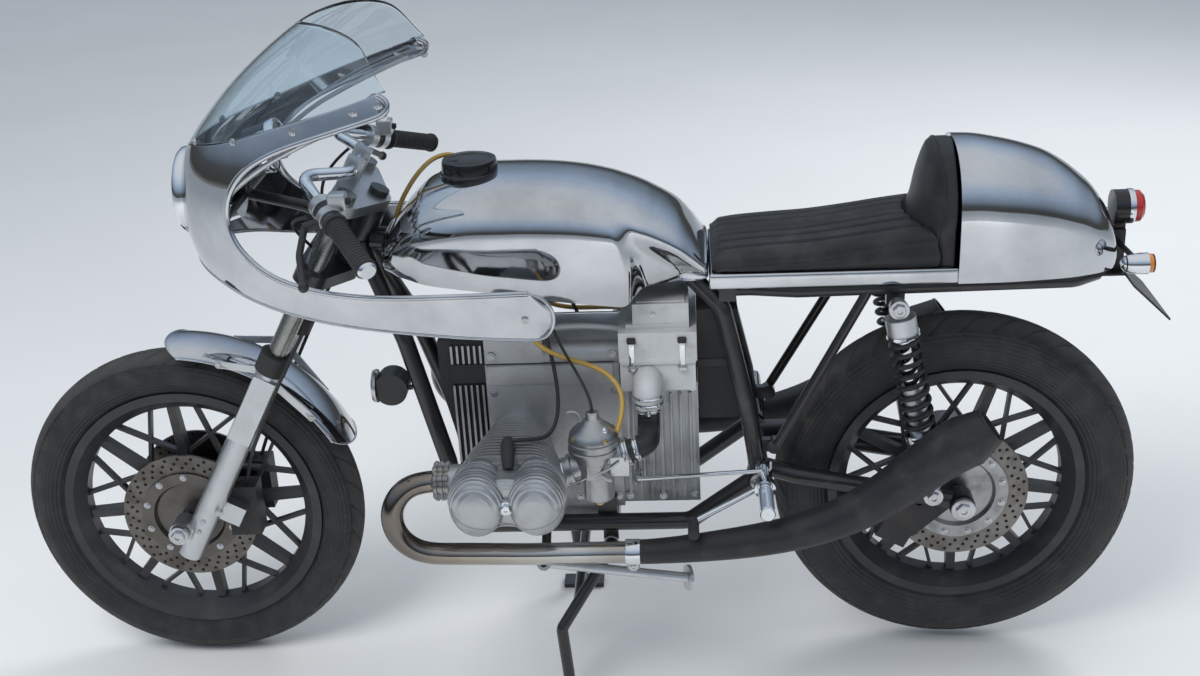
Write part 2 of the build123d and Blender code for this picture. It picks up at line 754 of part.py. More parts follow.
with BuildPart() as airbox:
    block((106, -111, gearbox_top), (241, 111, lid_split))
    block((105, -114, lid_split), (244, 114, lid_top))
    block((118, -94, lid_top), (231, 94, lid_top + 8))
    block((131, -92, lid_top + 8), (231, 92, lid_top + 46))
    for side, x in spigots:
        run([
            (x, side * 104, spigot_end.Z + 36), (x, side * spigot_end.Y, spigot_end.Z + 36),
            (x, side * spigot_end.Y, spigot_end.Z),
        ], 26, 28)

with BuildPart() as cylinders:
    for side, x in sides:
        rod((x, side * block_half, crank_z), (x, side * barrel_end, crank_z), 52)
        for k in range(11):
            near = 100 + 10 * k
            with BuildSketch(Plane(
                origin=(x, side * near, crank_z), x_dir=(1, 0, 0), z_dir=(0, side, 0)
            )) as fin:
                RectangleRounded(112 + 4.2 * k, 102 + 3 * k, 42 + 1.2 * k)
            extrude(fin.sketch, amount=4)

with BuildPart() as cylinder_heads:
    for side, x in sides:
        with BuildSketch(Plane(
            origin=(x, side * barrel_end, crank_z), x_dir=(1, 0, 0), z_dir=(0, side, 0)
        )) as core:
            RectangleRounded(156, 112, 46)
        extrude(core.sketch, amount=head_end - barrel_end)
        for k in range(7):
            with BuildSketch(Plane(
                origin=(x, side * (barrel_end + 4 + 11 * k), crank_z), x_dir=(1, 0, 0),
                z_dir=(0, side, 0)
            )) as fin:
                RectangleRounded(166 + 4 * k, 138, 58)
            extrude(fin.sketch, amount=4.5)
        rod((x - 70, side * port_y, port_z), (x - 112, side * port_y, port_z), 29)
        rod(on_carb(side, x, -8), on_carb(side, x, carb_start), 25)

lobe_offset = 51.0
lobe_half_width = 50.0
lobe_half_height = 60.0
lobe_z = 501.0

with BuildPart() as valve_covers:
    for side, x in sides:
        for lobe in (-lobe_offset, lobe_offset):
            rings = []
            for reach, share in (
                (head_end, 0.97), (cover_end - 52, 1.0), (cover_end - 26, 0.94),
                (cover_end - 8, 0.76), (cover_end, 0.54),
            ):
                with BuildSketch(Plane(
                    origin=(x + lobe, side * reach, lobe_z), x_dir=(1, 0, 0), z_dir=(0, side, 0)
                )) as ring:
                    Ellipse(lobe_half_width * share, lobe_half_height * share)
                rings.append(ring.sketch)
            with BuildPart(mode=Mode.PRIVATE) as dome:
                loft(rings)
            add(dome.part)
        block(
            (x - lobe_offset, min(side * head_end, side * (cover_end - 28)), lobe_z - 50),
            (x + lobe_offset, max(side * head_end, side * (cover_end - 28)), lobe_z + 46),
        )

with BuildPart() as carburettors:
    for side, x in sides:
        rod(on_carb(side, x, carb_start), on_carb(side, x, carb_end), 24)
        post = x + 145
        rod((post + 6, side * carb_y, 444), (post + 6, side * carb_y, 512), 26)
        rod((post, side * carb_y, 500), (post, side * carb_y, 549), 36)
        rod((post, side * carb_y, 548), (post, side * carb_y, 578), 44)
        rod((post, side * carb_y, 577), (post, side * carb_y, 608), 32, 14)

with BuildPart() as intake_hoses:
    for side, x in sides:
        spigot = spigots[0][1] if side < 0 else spigots[1][1]
        run([
            on_carb(side, x, carb_end), on_carb(side, x, carb_end + 34),
            (spigot, side * spigot_end.Y, 545), (spigot, side * spigot_end.Y, spigot_end.Z),
        ], 20, 24)

# Exhaust
header_radius = 19.5
header_end = Vector(119, 250, 349)
megaphone = (
    # x, height, radius, rise of its axis in degrees
    (119, 349, 22, 0),
    (250, 357, 26, 6),
    (400, 381, 31, 13),
    (500, 417, 35, 28),
    (600, 484, 41, 36),
    (700, 558, 47, 36),
)
tail_cone_length = 44.0
tail_radius = 34.0
tail_bore = 29.0
tail_bore_depth = 40.0

with BuildPart() as exhaust_headers:
    for side, x in sides:
        run([
            (x - 112, side * port_y, port_z), (x - 130, side * port_y, port_z),
            (-292, side * 298, 510), (-270, side * 300, 386),
            (header_end.X - 90, side * header_end.Y, header_end.Z),
            (header_end.X, side * header_end.Y, header_end.Z),
        ], header_radius, 40)

with BuildPart() as silencers:
    for side in (-1, 1):
        with BuildPart(mode=Mode.PRIVATE) as body:
            sections = []
            for x, height, radius, rise in megaphone:
                way = Vector(cos(radians(rise)), 0, sin(radians(rise)))
                with BuildSketch(Plane(origin=(x, side * header_end.Y, height), z_dir=way)) as ring:
                    Circle(radius)
                sections.append(ring.sketch)
            loft(sections)
            wide = Vector(x, side * header_end.Y, height)
            tip = wide + way * tail_cone_length
            rod(wide, tip, radius, tail_radius)
            rod(tip - way * tail_bore_depth, tip + way, tail_bore, mode=Mode.SUBTRACT)
        add(body.part)

# Tank: sections from front to rear, then the tunnel over the frame tubes
tank_sections = (
    # x, half width, bottom, shoulder, top
    (-300, 96, 834, 856, 892),
    (-262, 120, 826, 872, 934),
    (-212, 140, 818, 894, 975),
    (-110, 150, 805, 902, 989),
    (30, 150, 785, 898, 985),
    (126, 138, 775, 880, 959),
    (215, 122, 798, 856, 914),
    (262, 106, 802, 826, 842),
)

cap_centre = Vector(-150, 0, 984)
neck_radius = 42.0

with BuildPart() as fuel_tank:
    loft([arch_section(*row) for row in tank_sections])
    block((-310, -50, 700), (150, 50, tunnel_top), mode=Mode.SUBTRACT)
    block((140, -84, 700), (216, 84, 856), mode=Mode.SUBTRACT)
    block((140, -92, 700), (246, 92, 834), mode=Mode.SUBTRACT)
    block((140, -96, 700), (300, 96, 818), mode=Mode.SUBTRACT)
    rod(cap_centre - Vector(0, 0, 14), cap_centre + Vector(0, 0, 30), neck_radius, mode=Mode.SUBTRACT)

with BuildPart() as filler_cap:
    rod(cap_centre - Vector(0, 0, 14 - seat_gap), cap_centre + Vector(0, 0, 7), neck_radius - seat_gap)
    rod(cap_centre + Vector(0, 0, 6), cap_centre + Vector(0, 0, 20), 50)
    rod(cap_centre + Vector(0, 0, 20), cap_centre + Vector(0, 0, 30), 46, 30)

# Seat: polished base with its tail hump, a flat pad and the bump pad
pad_low = 823.0
pad_front = 273.0
hump_length = 281.0
hump_end = tail_tip_x - 95.5
hump_front = hump_end - hump_length
hump_sections = (
    # share of the hump's length, half width, bottom, shoulder, top
    (0, 128, pan_bottom, 905, 1020),
    (0.30, 126, pan_bottom, 900, 1010),
    (0.60, 117, pan_bottom, 885, 985),
    (0.81, 103, pan_bottom, 862, 944),
    (0.91, 91, pan_bottom, 845, 912),
    (0.97, 78, pan_bottom, 830, 878),
    (1.0, 66, pan_bottom, 816, 850),
)

with BuildPart() as seat_base:
    loft([arch_section(hump_front + hump_length * row[0], *row[1:]) for row in hump_sections])
    block((268, -122, pan_bottom), (hump_front + 1, 122, pad_low))

pad_rear = hump_front - 33.0
bolster_half = 112.0
bolster_nose = hump_front - 82.0
bolster_shoulder = hump_front - 36.0


def bolster_plan(grow):
    """Plan of the bolster: flat behind, bowed forward in front."""
    with BuildSketch(Plane.XY.offset(pad_low - 5)) as plan:
        with BuildLine():
            Polyline(
                (bolster_shoulder - grow, bolster_half + grow), (hump_front - seat_gap, bolster_half + grow),
                (hump_front - seat_gap, -bolster_half - grow), (bolster_shoulder - grow, -bolster_half - grow),
            )
            ThreePointArc(
                (bolster_shoulder - grow, -bolster_half - grow), (bolster_nose - grow, 0),
                (bolster_shoulder - grow, bolster_half + grow),
            )
        make_face()
    return plan.sketch


with BuildPart() as seat_pad:
    loft([
        arch_section(pad_front, 110, pad_low, 838, 860),
        arch_section(330, 118, pad_low, 840, 864),
        arch_section(pad_rear, 118, pad_low, 870, 900),
    ])
    extrude(bolster_plan(seat_gap), amount=300, mode=Mode.SUBTRACT)
    block((bolster_shoulder - seat_gap, -130, pad_low - 5), (pad_rear + 10, 130, 950), mode=Mode.SUBTRACT)

with BuildPart() as hump_pad:
    side_plate([
        (bolster_nose - 2, pad_low), (hump_front - seat_gap, pad_low), (hump_front - seat_gap, 1016),
        (hump_front - 34, 1016), (hump_front - 46, 1004), (hump_front - 62, 960),
        (hump_front - 71, 917), (bolster_nose - 2, 880),
    ], -bolster_half, bolster_half)
    extrude(bolster_plan(0), amount=300, mode=Mode.INTERSECT)

# Fairing and screen, cut from one bullet-shaped shell
sheet = 3.0
nose_centre_x = -250.0
shell_rear = 40.0
shell_sections = (
    # height, nose x, half width
    (740, -560, 236),
    (823, -634, 246),
    (900, -663, 252),
    (985, -668, 250),
    (1060, -644, 240),
    (1130, -588, 225),
    (1190, -526, 206),
    (1250, -448, 170),
    (1285, -388, 142),
)


def shell_section(height, nose_x, half_width, inset):
    """Plan outline at one height: an elliptical nose and straight sides."""
    half = half_width - inset
    with BuildSketch(Plane.XY.offset(height)) as plan:
        with BuildLine():
            EllipticalCenterArc(
                (nose_centre_x, 0), nose_centre_x - nose_x - inset, half,
                start_angle=90, arc_size=180,
            )
            Polyline(
                (nose_centre_x, -half), (shell_rear, -half), (shell_rear, half), (nose_centre_x, half)
            )
        make_face()
    return plan.sketch


with BuildPart() as shell:
    loft([shell_section(*row, 0) for row in shell_sections])
    loft([shell_section(*row, sheet) for row in shell_sections], mode=Mode.SUBTRACT)

lamp_centre = Vector(-647, 0, 968)
lamp_radius = 76.0

with BuildPart() as fairing:
    add(shell.part)
    with BuildSketch(Plane(origin=(0, 300, 0), x_dir=(1, 0, 0), z_dir=(0, -1, 0))) as outline:
        with BuildLine():
            Polyline((-255, 1149), (-391, 1111), (-430, 1095))
            ThreePointArc((-430, 1095), (-516, 1040), (-541, 965))
            ThreePointArc((-541, 965), (-508, 896), (-400, 858))
            Polyline((-400, 858), (-290, 847), (-34, 849))
            ThreePointArc((-34, 849), (11, 802), (-14, 759))
            Polyline((-14, 759), (-172, 770), (-430, 803))
            ThreePointArc((-430, 803), (-505, 815), (-570, 836))
            Polyline((-570, 836), (-720, 892), (-720, 1036), (-262, 1184))
            ThreePointArc((-262, 1184), (-243, 1166), (-255, 1149))
        make_face()
    extrude(outline.sketch, amount=600, mode=Mode.INTERSECT)
    rod(
        lamp_centre + Vector(-60, 0, 0), lamp_centre + Vector(60, 0, 0),
        lamp_radius + seat_gap, mode=Mode.SUBTRACT,
    )

with BuildPart() as windscreen:
    add(shell.part)
    side_plate([
        (-720, 1036.3), (-262, 1184.3), (-252, 1192), (-262, 1216), (-278, 1247), (-298, 1264),
        (-330, 1274), (-380, 1276), (-720, 1270),
    ], -300, 300, mode=Mode.INTERSECT)

with BuildPart() as headlamp:
    rod(lamp_centre, lamp_centre + Vector(16, 0, 0), lamp_radius)
    rod(lamp_centre + Vector(16, 0, 0), lamp_centre + Vector(80, 0, 0), 72, 50)

with BuildPart() as headlamp_lens:
    rod(lamp_centre, lamp_centre + Vector(-14, 0, 0), 70, 52)

bracket_start = on_fork(-34 - seat_gap, 668)
with BuildPart() as fairing_bracket:
    run([bracket_start, on_fork(-110, 668), (-560, 0, 960), (-545, 0, 1035)], 10, 16)
    run([(-559, -162.1, 957), (-560, 0, 957), (-559, 162.1, 957)], 7, 200)
    block((-556, -70, 1012), (-548, 70, 1052))
    for side in (-1, 1):
        rod((-550, side * 42, 1031), (-495, side * 42, 1048), 36)

# Lamps and plate bracket at the tail
tail_lamp_z = 884.0
lamp_front = tail_tip_x - 93.0
lens_front = tail_tip_x - 61.5
hanger_x = tail_tip_x - 80.5
hanger_half = 36.0

with BuildPart() as tail_lamp:
    rod((lamp_front, 0, tail_lamp_z), (lens_front, 0, tail_lamp_z), 30)
    block((hanger_x - 9, -10, 846), (hanger_x + 11, 10, 860))

with BuildPart() as tail_lens:
    rod((lens_front, 0, tail_lamp_z), (lens_front + 14, 0, tail_lamp_z), 28)
    rod((lens_front + 14, 0, tail_lamp_z), (lens_front + 20, 0, tail_lamp_z), 28, 22)

plate_top = Vector(tail_tip_x - 68.5, 0, seat_rail_z - seat_rail_radius - seat_gap)
plate_tip = Vector(tail_tip_x, 0, 704.4)
plate_thickness = 3.5
plate_way = (plate_tip - plate_top).normalized()
plate_normal = Vector(-plate_way.Z, 0, plate_way.X)
plate_bolt_spacing = 140.0
plate_bolt_radius = 3.5

with BuildPart() as plate_bracket:
    under_tip = plate_tip - plate_normal * plate_thickness
    side_plate([
        (plate_top.X - 1.5, plate_top.Z - plate_thickness),
        (under_tip.X, under_tip.Z), (plate_tip.X, plate_tip.Z), (plate_top.X, plate_top.Z),
    ], -90, 90)
    block(
        (rail_end_x - 20, -hanger_half, plate_top.Z - plate_thickness),
        (plate_top.X + 1, hanger_half, plate_top.Z),
    )
    for side in (-1, 1):
        bolt = (plate_top + plate_tip) * 0.5 + Vector(0, side * plate_bolt_spacing / 2, 0)
        rod(bolt - plate_normal * 8, bolt + plate_normal * 8, plate_bolt_radius, mode=Mode.SUBTRACT)
    block((hanger_x - 11, -16, plate_top.Z - 1), (hanger_x + 11, 16, 846))
    for side in (-1, 1):
        rod((hanger_x, side * 16, 822), (hanger_x + 7, side * 112, 822), 5)
        rod((hanger_x - 17, side * 120, 822), (hanger_x + 21, side * 120, 822), 14, 17)
        rod((hanger_x + 21, side * 120, 822), (hanger_x + 31, side * 120, 822), 16)

# Small pieces on the frame
with BuildPart() as horn:
    rod((-318, -84, 600), (-318, -40, 600), 31)
    rod((-300, -72, 600), (-279, -72, 600), 5)

with BuildPart() as battery_box:
    block((244 + seat_gap, -64, 520), (318, 64, 735))

peg = Vector(359, 0, 440)
peg_radius = 12.5
peg_inner = 200.0
peg_tip = 285.0
stub_radius = 10.0
with BuildPart() as footrests:
    for side in (-1, 1):
        block(
            (344, min(side * 130, side * 140), 410), (374, max(side * 130, side * 140), 466)
        )
        rod((peg.X, side * 138, peg.Z), (peg.X, side * (peg_inner + 1), peg.Z), stub_radius)
        rod((peg.X, side * peg_inner, peg.Z), (peg.X, side * peg_tip, peg.Z), peg_radius)

with BuildPart() as foot_levers:
    rod((peg.X, -178, peg.Z), (peg.X, -198, peg.Z), 19)
    rod((peg.X - 12, -188, peg.Z - 2), (230, -240, 402), 5.5)
    rod((230, -236, 402), (230, -288, 402), 7)
    rod((peg.X, -188, peg.Z + 14), (peg.X - 6, -188, 474), 5)
    rod((peg.X - 4, -188, 474), (130, -122, 426), 4)
    rod((130, -124, 426), (130, -86, 426), 7)
    rod((peg.X, -170, peg.Z), (peg.X, -210, peg.Z), stub_radius + slide_gap, mode=Mode.SUBTRACT)
    rod((peg.X, 178, peg.Z), (peg.X, 198, peg.Z), 19)
    rod((peg.X - 12, 188, peg.Z - 2), (240, 246, 412), 5.5)
    rod((240, 240, 412), (240, 290, 412), 8)
    rod((peg.X, 170, peg.Z), (peg.X, 210, peg.Z), stub_radius + slide_gap, mode=Mode.SUBTRACT)

# Centre stand: two bowed legs, their cross tube and feet
stand_foot_x = -12.0
with BuildPart() as centre_stand:
    for side in (-1, 1):
        rod(
            (stand_pivot.X, side * 117, stand_pivot.Z), (stand_pivot.X, side * 137, stand_pivot.Z), 14
        )
        run([
            (stand_pivot.X, side * 128, stand_pivot.Z), (43, side * 150, 239), (-21, side * 196, 152),
            (stand_foot_x, side * 200, 40), (stand_foot_x, side * 200, 8),
        ], 11, 16)
        block((stand_foot_x - 38, side * 200 - 20, 0), (stand_foot_x + 46, side * 200 + 20, 10))
        rod(
            (stand_pivot.X, side * 110, stand_pivot.Z), (stand_pivot.X, side * 145, stand_pivot.Z),
            stand_pin_radius + pin_clearance, mode=Mode.SUBTRACT,
        )
    rod((11, -173, 195), (11, 173, 195), 10)

# Side stand, folded back along the left rail
side_stand_tip = Vector(218, -216, 272)
with BuildPart() as side_stand:
    rod(side_stand_pivot - side_stand_axis * 9, side_stand_pivot + side_stand_axis * 9, 13)
    rod(side_stand_pivot, side_stand_tip, 9)
    foot_up = Vector(0, 0, 1).rotate(Axis((0, 0, 0), side_stand_axis), -side_stand_travel)
    rod(side_stand_tip - foot_up * 3, side_stand_tip + foot_up * 3, 24)
    rod(
        side_stand_pivot - side_stand_axis * 15, side_stand_pivot + side_stand_axis * 15,
        stand_pin_radius + pin_clearance, mode=Mode.SUBTRACT,
    )

nodes = {
    "front_tyre": front_tyre,
    "front_wheel": front_wheel,
    "rear_tyre": rear_tyre,
    "rear_wheel": rear_wheel,
    "front_discs": front_discs,
    "rear_disc": rear_disc,
    "front_axle": front_axle_shaft,
    "fork_sliders": fork_sliders,
    "fork_tubes": fork_tubes,
    "dust_covers": dust_covers,
    "lower_yoke": lower_yoke,
    "upper_yoke": upper_yoke,
    "handlebar": handlebar,
    "grips": grips,
    "hand_levers": hand_levers,
    "front_mudguard": front_mudguard,
    "front_calipers": front_calipers,
    "main_frame": main_frame,
    "swingarm": swingarm,
    "final_drive": final_drive,
    "rear_axle": rear_axle_shaft,
    "rear_caliper": rear_caliper,
    "shock_bodies": shock_bodies,
    "shock_springs": shock_springs,
    "rear_subframe": rear_subframe,
    "engine_block": engine_block,
    "front_cover": front_cover,
    "gearbox": gearbox,
    "airbox": airbox,
    "cylinders": cylinders,
    "cylinder_heads": cylinder_heads,
    "valve_covers": valve_covers,
    "carburettors": carburettors,
    "intake_hoses": intake_hoses,
    "exhaust_headers": exhaust_headers,
    "silencers": silencers,
    "fuel_tank": fuel_tank,
    "filler_cap": filler_cap,
    "seat_base": seat_base,
    "seat_pad": seat_pad,
    "hump_pad": hump_pad,
    "fairing": fairing,
    "windscreen": windscreen,
    "headlamp": headlamp,
    "headlamp_lens": headlamp_lens,
    "fairing_bracket": fairing_bracket,
    "tail_lamp": tail_lamp,
    "tail_lens": tail_lens,
    "plate_bracket": plate_bracket,
    "horn": horn,
    "battery_box": battery_box,
    "footrests": footrests,
    "foot_levers": foot_levers,
    "centre_stand": centre_stand,
    "side_stand": side_stand,
}
to_middle = Location((-(nose_x + tail_tip_x) / 2, 0, 0))
for label, piece in nodes.items():
    piece.part.move(to_middle)
    piece.part.label = label
    export_step(piece.part, f"parts/{label}.step")
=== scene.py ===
from math import acos, cos, exp, pi, radians, sin, sqrt

import bpy
from mathutils import Matrix, Vector


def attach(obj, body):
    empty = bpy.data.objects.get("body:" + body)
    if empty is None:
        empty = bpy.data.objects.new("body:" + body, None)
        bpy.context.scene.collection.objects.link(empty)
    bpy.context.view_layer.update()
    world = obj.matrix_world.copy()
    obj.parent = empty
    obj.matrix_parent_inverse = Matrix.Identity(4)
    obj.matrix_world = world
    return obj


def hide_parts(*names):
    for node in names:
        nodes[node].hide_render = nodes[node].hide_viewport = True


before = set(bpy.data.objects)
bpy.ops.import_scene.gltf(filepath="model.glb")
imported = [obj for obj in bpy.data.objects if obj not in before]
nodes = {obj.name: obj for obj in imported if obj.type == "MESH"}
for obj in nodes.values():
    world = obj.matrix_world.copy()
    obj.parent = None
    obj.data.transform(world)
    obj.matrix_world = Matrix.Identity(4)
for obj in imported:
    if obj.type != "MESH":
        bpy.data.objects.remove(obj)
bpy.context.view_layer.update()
scene = bpy.context.scene
scene.view_settings.view_transform = "Standard"

# Sizes are in millimetres, and mm turns them into metres. The left side has y below 0.
mm = 0.001
both_sides = ((-1, "left"), (1, "right"))
front_axle, rear_axle = Vector((-742.5, 0, 329)), Vector((722.5, 0, 353))

# The camera stands on the rider's left and looks down at the engine. Its place,
# angles and lens come from fitting both wheels in the photograph.
camera_place = Vector((0.2403, -2.6093, 1.7933))
yaw, pitch, roll = radians(-3.83), radians(23.48), radians(-3.01)
focal_pixels, photo_width, sensor_width = 1539.4, 1200, 36
forward = Vector((sin(yaw) * cos(pitch), cos(yaw) * cos(pitch), -sin(pitch)))
level = forward.cross(Vector((0, 0, 1))).normalized()
above = level.cross(forward)
right = level * cos(roll) + above * sin(roll)
up = -level * sin(roll) + above * cos(roll)
camera = bpy.data.objects.new("camera", bpy.data.cameras.new("camera"))
scene.collection.objects.link(camera)
camera.data.sensor_width = sensor_width
camera.data.lens = sensor_width * focal_pixels / photo_width
facing = Matrix((right, up, -forward)).transposed()
camera.matrix_world = Matrix.Translation(camera_place) @ facing.to_4x4()
scene.camera = camera


# Every finish below is a small node tree. A wire is one node's output, and takes
# part in sums like a number; a finish makes nodes and sets the surface's values.
class Wire:
    def __init__(self, finish, socket):
        self.finish, self.socket = finish, socket

    def math(self, operation, *others):
        return self.finish.node("ShaderNodeMath", {"operation": operation}, self, *others)

    def __add__(self, other):
        return self.math("ADD", other)

    def __mul__(self, other):
        return self.math("MULTIPLY", other)

    def __sub__(self, other):
        return self.math("SUBTRACT", other)

    def __truediv__(self, other):
        return self.math("DIVIDE", other)

    def __rsub__(self, other):
        return self.finish.node("ShaderNodeMath", {"operation": "SUBTRACT"}, other, self)

    __radd__, __rmul__ = __add__, __mul__

    def between(self, low, high):
        """0 below low, 1 above high, and smooth between."""
        return self.finish.node(
            "ShaderNodeMapRange", {"interpolation_type": "SMOOTHSTEP"}, self, low, high, 0.0, 1.0
        )


def polar(first, second):
    """Distance from the middle of a plane, and the angle round it."""
    return (first * first + second * second).math("SQRT"), second.math("ARCTAN2", first)


class Nodes:
    def __init__(self, tree):
        self.tree = tree

    def feed(self, socket, value):
        """Links a wire to a socket, or sets the socket's value; tones are opaque."""
        if isinstance(value, Wire):
            self.tree.links.new(value.socket, socket)
        else:
            socket.default_value = (*value, 1) if socket.type == "RGBA" else value

    def node(self, kind, settings=None, *values, output=0, **named):
        made = self.tree.nodes.new(kind)
        for key, value in (settings or {}).items():
            if key == "stops":
                while len(made.color_ramp.elements) < len(value):
                    made.color_ramp.elements.new(0.5)
                for stop, (place, tone) in zip(made.color_ramp.elements, value):
                    stop.position, stop.color = place, (*tone, 1)
            else:
                setattr(made, key, value)
        for key, value in [*enumerate(values), *named.items()]:
            self.feed(made.inputs[key.replace("_", " ") if isinstance(key, str) else key], value)
        return Wire(self, made.outputs[output])


class Finish(Nodes):
    def __init__(self, name, slot="cast_alloy"):
        self.material = bpy.data.materials.new(name)
        self.material.use_nodes = True
        super().__init__(self.material.node_tree)
        self.shader = self.tree.nodes["Principled BSDF"]
        self.slot = slot

    def place(self):
        return self.node("ShaderNodeTexCoord", output="Object")

    def along(self, axis):
        """Metres along x, y or z, by the axis's number."""
        return self.node("ShaderNodeSeparateXYZ", {}, self.place(), output=axis)

    def noise(self, scale, detail=4.0, rough=0.5, stretch=None):
        place = self.place()
        if stretch:
            place = self.node("ShaderNodeMapping", {}, place, Scale=stretch)
        return self.node("ShaderNodeTexNoise", {}, Vector=place, Scale=scale, Detail=detail, Roughness=rough)

    def mix(self, share, first, second):
        made = self.node("ShaderNodeMix", {"data_type": "RGBA"}, share, output=2)
        for index, tone in ((6, first), (7, second)):
            self.feed(made.socket.node.inputs[index], tone)
        return made

    def bump(self, height, depth):
        return self.node("ShaderNodeBump", {}, Strength=1.0, Distance=depth, Height=height)

    def surface(self, **named):
        for key, value in named.items():
            self.feed(self.shader.inputs[key.replace("_", " ")], value)
        return self


def coated(name, tones, stain, patch, rough, grain=None, slot="cast_alloy", **more):
    """Two tones in patches, set by noise, over a fine grain."""
    made = Finish(name, slot)
    spot = made.noise(*stain)
    low, high, share = patch
    if grain:
        scale, detail, depth = grain
        more["Normal"] = made.bump(made.noise(scale, detail), depth)
    return made.surface(
        Base_Color=made.mix(spot.between(low, high) * share, *tones), Roughness=rough[0] + spot * rough[1], **more
    )


def satin_paint(name, tone, rough, dirt, share=0.5, slot="cast_alloy"):
    return coated(
        name, (tone, dirt), (14, 6, 0.65), (0.45, 0.85, share), (rough - 0.05, 0.18), (420, 2, 0.00012), slot
    )


def brushed_metal(name, tone, rough, patch):
    metal = Finish(name)
    stain = metal.noise(22, 6, 0.6)
    line = metal.noise(600, 2, 0.5)
    return metal.surface(
        Base_Color=metal.mix(stain.between(0.4, 0.8) * 0.5, tone, patch), Metallic=1.0,
        Roughness=rough + line * 0.075 + stain * 0.08, Normal=metal.bump(line, 0.00008),
    )


def dress(finish, *names):
    """Gives carried-over solids their finish."""
    for name in names:
        mesh = nodes[name].data
        mesh.materials.clear()
        mesh.materials.append(finish.material)


# A plain pale floor that runs out of sight, and a plain sky. Polished metal needs
# something to show, so it mirrors a sky that is bluer overhead and has a dark horizon.
floor_paint = Finish("floor_paint")
floor_paint.surface(
    Base_Color=floor_paint.mix(floor_paint.noise(1.3, 3), (0.64, 0.64, 0.63), (0.70, 0.70, 0.69)),
    Roughness=0.75,
)
floor_half = 40
floor_mesh = bpy.data.meshes.new("floor")
floor_mesh.from_pydata(
    [(x * floor_half, y * floor_half, 0) for x, y in ((-1, -1), (1, -1), (1, 1), (-1, 1))], [], [(0, 1, 2, 3)]
)
floor_mesh.materials.append(floor_paint.material)
floor_piece = bpy.data.objects.new("floor", floor_mesh)
scene.collection.objects.link(floor_piece)

world = bpy.data.worlds.new("sky")
world.use_nodes = True
scene.world = world
sky = Nodes(world.node_tree)
sky_place = sky.node("ShaderNodeTexCoord", output="Generated")
sky_height = sky.node("ShaderNodeMapRange", {}, sky.node("ShaderNodeSeparateXYZ", {}, sky_place, output=2), -1.0)
sky_tone = sky.node("ShaderNodeValToRGB", {"stops": (
    (0.0, (0.40, 0.40, 0.40)), (0.49, (0.30, 0.30, 0.29)), (0.505, (0.085, 0.085, 0.08)),
    (0.56, (0.11, 0.125, 0.14)), (0.62, (0.26, 0.33, 0.42)), (0.74, (0.50, 0.63, 0.82)),
    (0.88, (0.80, 0.88, 0.98)), (1.0, (0.92, 0.96, 1.0)),
)}, sky_height)
mirrored_sky = sky.node("ShaderNodeBackground", {}, sky_tone, 0.75)
seen_sky = sky.node("ShaderNodeBackground", {}, (0.86, 0.87, 0.88))
camera_ray = sky.node("ShaderNodeLightPath", output="Is Camera Ray")
sky_both = sky.node("ShaderNodeMixShader", {}, camera_ray, mirrored_sky, seen_sky)
sky.tree.links.new(sky_both.socket, sky.tree.nodes["World Output"].inputs["Surface"])

for name, place, aim, size, power in (
    ("key_light", (-2.0, -2.6, 4.4), (0, 0, 0.5), 2.6, 170),
    ("back_light", (2.6, 3.2, 3.6), (0, 0, 0.6), 2.2, 120),
    ("low_fill", (1.2, -3.6, 0.9), (0, 0, 0.5), 2.4, 24),
):
    lamp = bpy.data.lights.new(name, "AREA")
    lamp.shape, lamp.size, lamp.energy = "DISK", size, power
    lamp_piece = bpy.data.objects.new(name, lamp)
    lamp_piece.location = place
    lamp_piece.visible_glossy = False
    lamp_piece.visible_transmission = False
    lamp_piece.rotation_euler = (Vector(aim) - Vector(place)).to_track_quat("-Z", "Y").to_euler()
    scene.collection.objects.link(lamp_piece)


# Shapes: rings become skins, and each piece rides on the body that carries it.
def placed(name, data, finish, body):
    data.materials.append(finish.material)
    made = bpy.data.objects.new(name, data)
    scene.collection.objects.link(made)
    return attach(made, body)


def piece(name, points, faces, finish, slot=None, body="chassis", sharp=38):
    mesh = bpy.data.meshes.new(name)
    mesh.from_pydata([tuple(p) for p in points], [], faces)
    mesh.validate()
    for face in mesh.polygons:
        face.use_smooth = True
    mesh.set_sharp_from_angle(angle=radians(sharp))
    return placed(name, mesh, finish, body)


def skin(rings, closed=True, wrap=False, capped=False, flip=False):
    """Points and faces through rings of equal count; wrap joins the last ring to the first."""
    count = len(rings[0])
    points = [p for ring in rings for p in ring]
    faces = []
    for i in range(len(rings) if wrap else len(rings) - 1):
        j = (i + 1) % len(rings)
        for k in range(count if closed else count - 1):
            m = (k + 1) % count
            faces.append((i * count + k, i * count + m, j * count + m, j * count + k))
    if capped:
        faces += [tuple(range(count)), tuple(range(len(points) - 1, len(points) - 1 - count, -1))]
    return points, [face[::-1] for face in faces] if flip else faces


def merged(parts):
    """One set of points and faces from several."""
    points, faces = [], []
    for some, quads in parts:
        base = len(points)
        points += some
        faces += [tuple(base + i for i in quad) for quad in quads]
    return points, faces


def turns(count):
    """Equal steps once round a circle."""
    return [2 * pi * k / count for k in range(count)]


def turned(profile, centre, axis, steps=48, flip=False):
    """A profile of (distance along the axis, radius) turned about the axis."""
    axis = Vector(axis).normalized()
    side = axis.orthogonal().normalized()
    other = axis.cross(side)
    out_ways = [side * cos(a) + other * sin(a) for a in turns(steps)]
    return skin([
        [(Vector(centre) + axis * along + way * radius) * mm for way in out_ways] for along, radius in profile
    ], flip=flip)


def lathe(name, profile, centre, axis, finish, slot=None, body="chassis", steps=48, sharp=38, flip=False):
    return piece(name, *turned(profile, centre, axis, steps, flip), finish, slot, body, sharp)


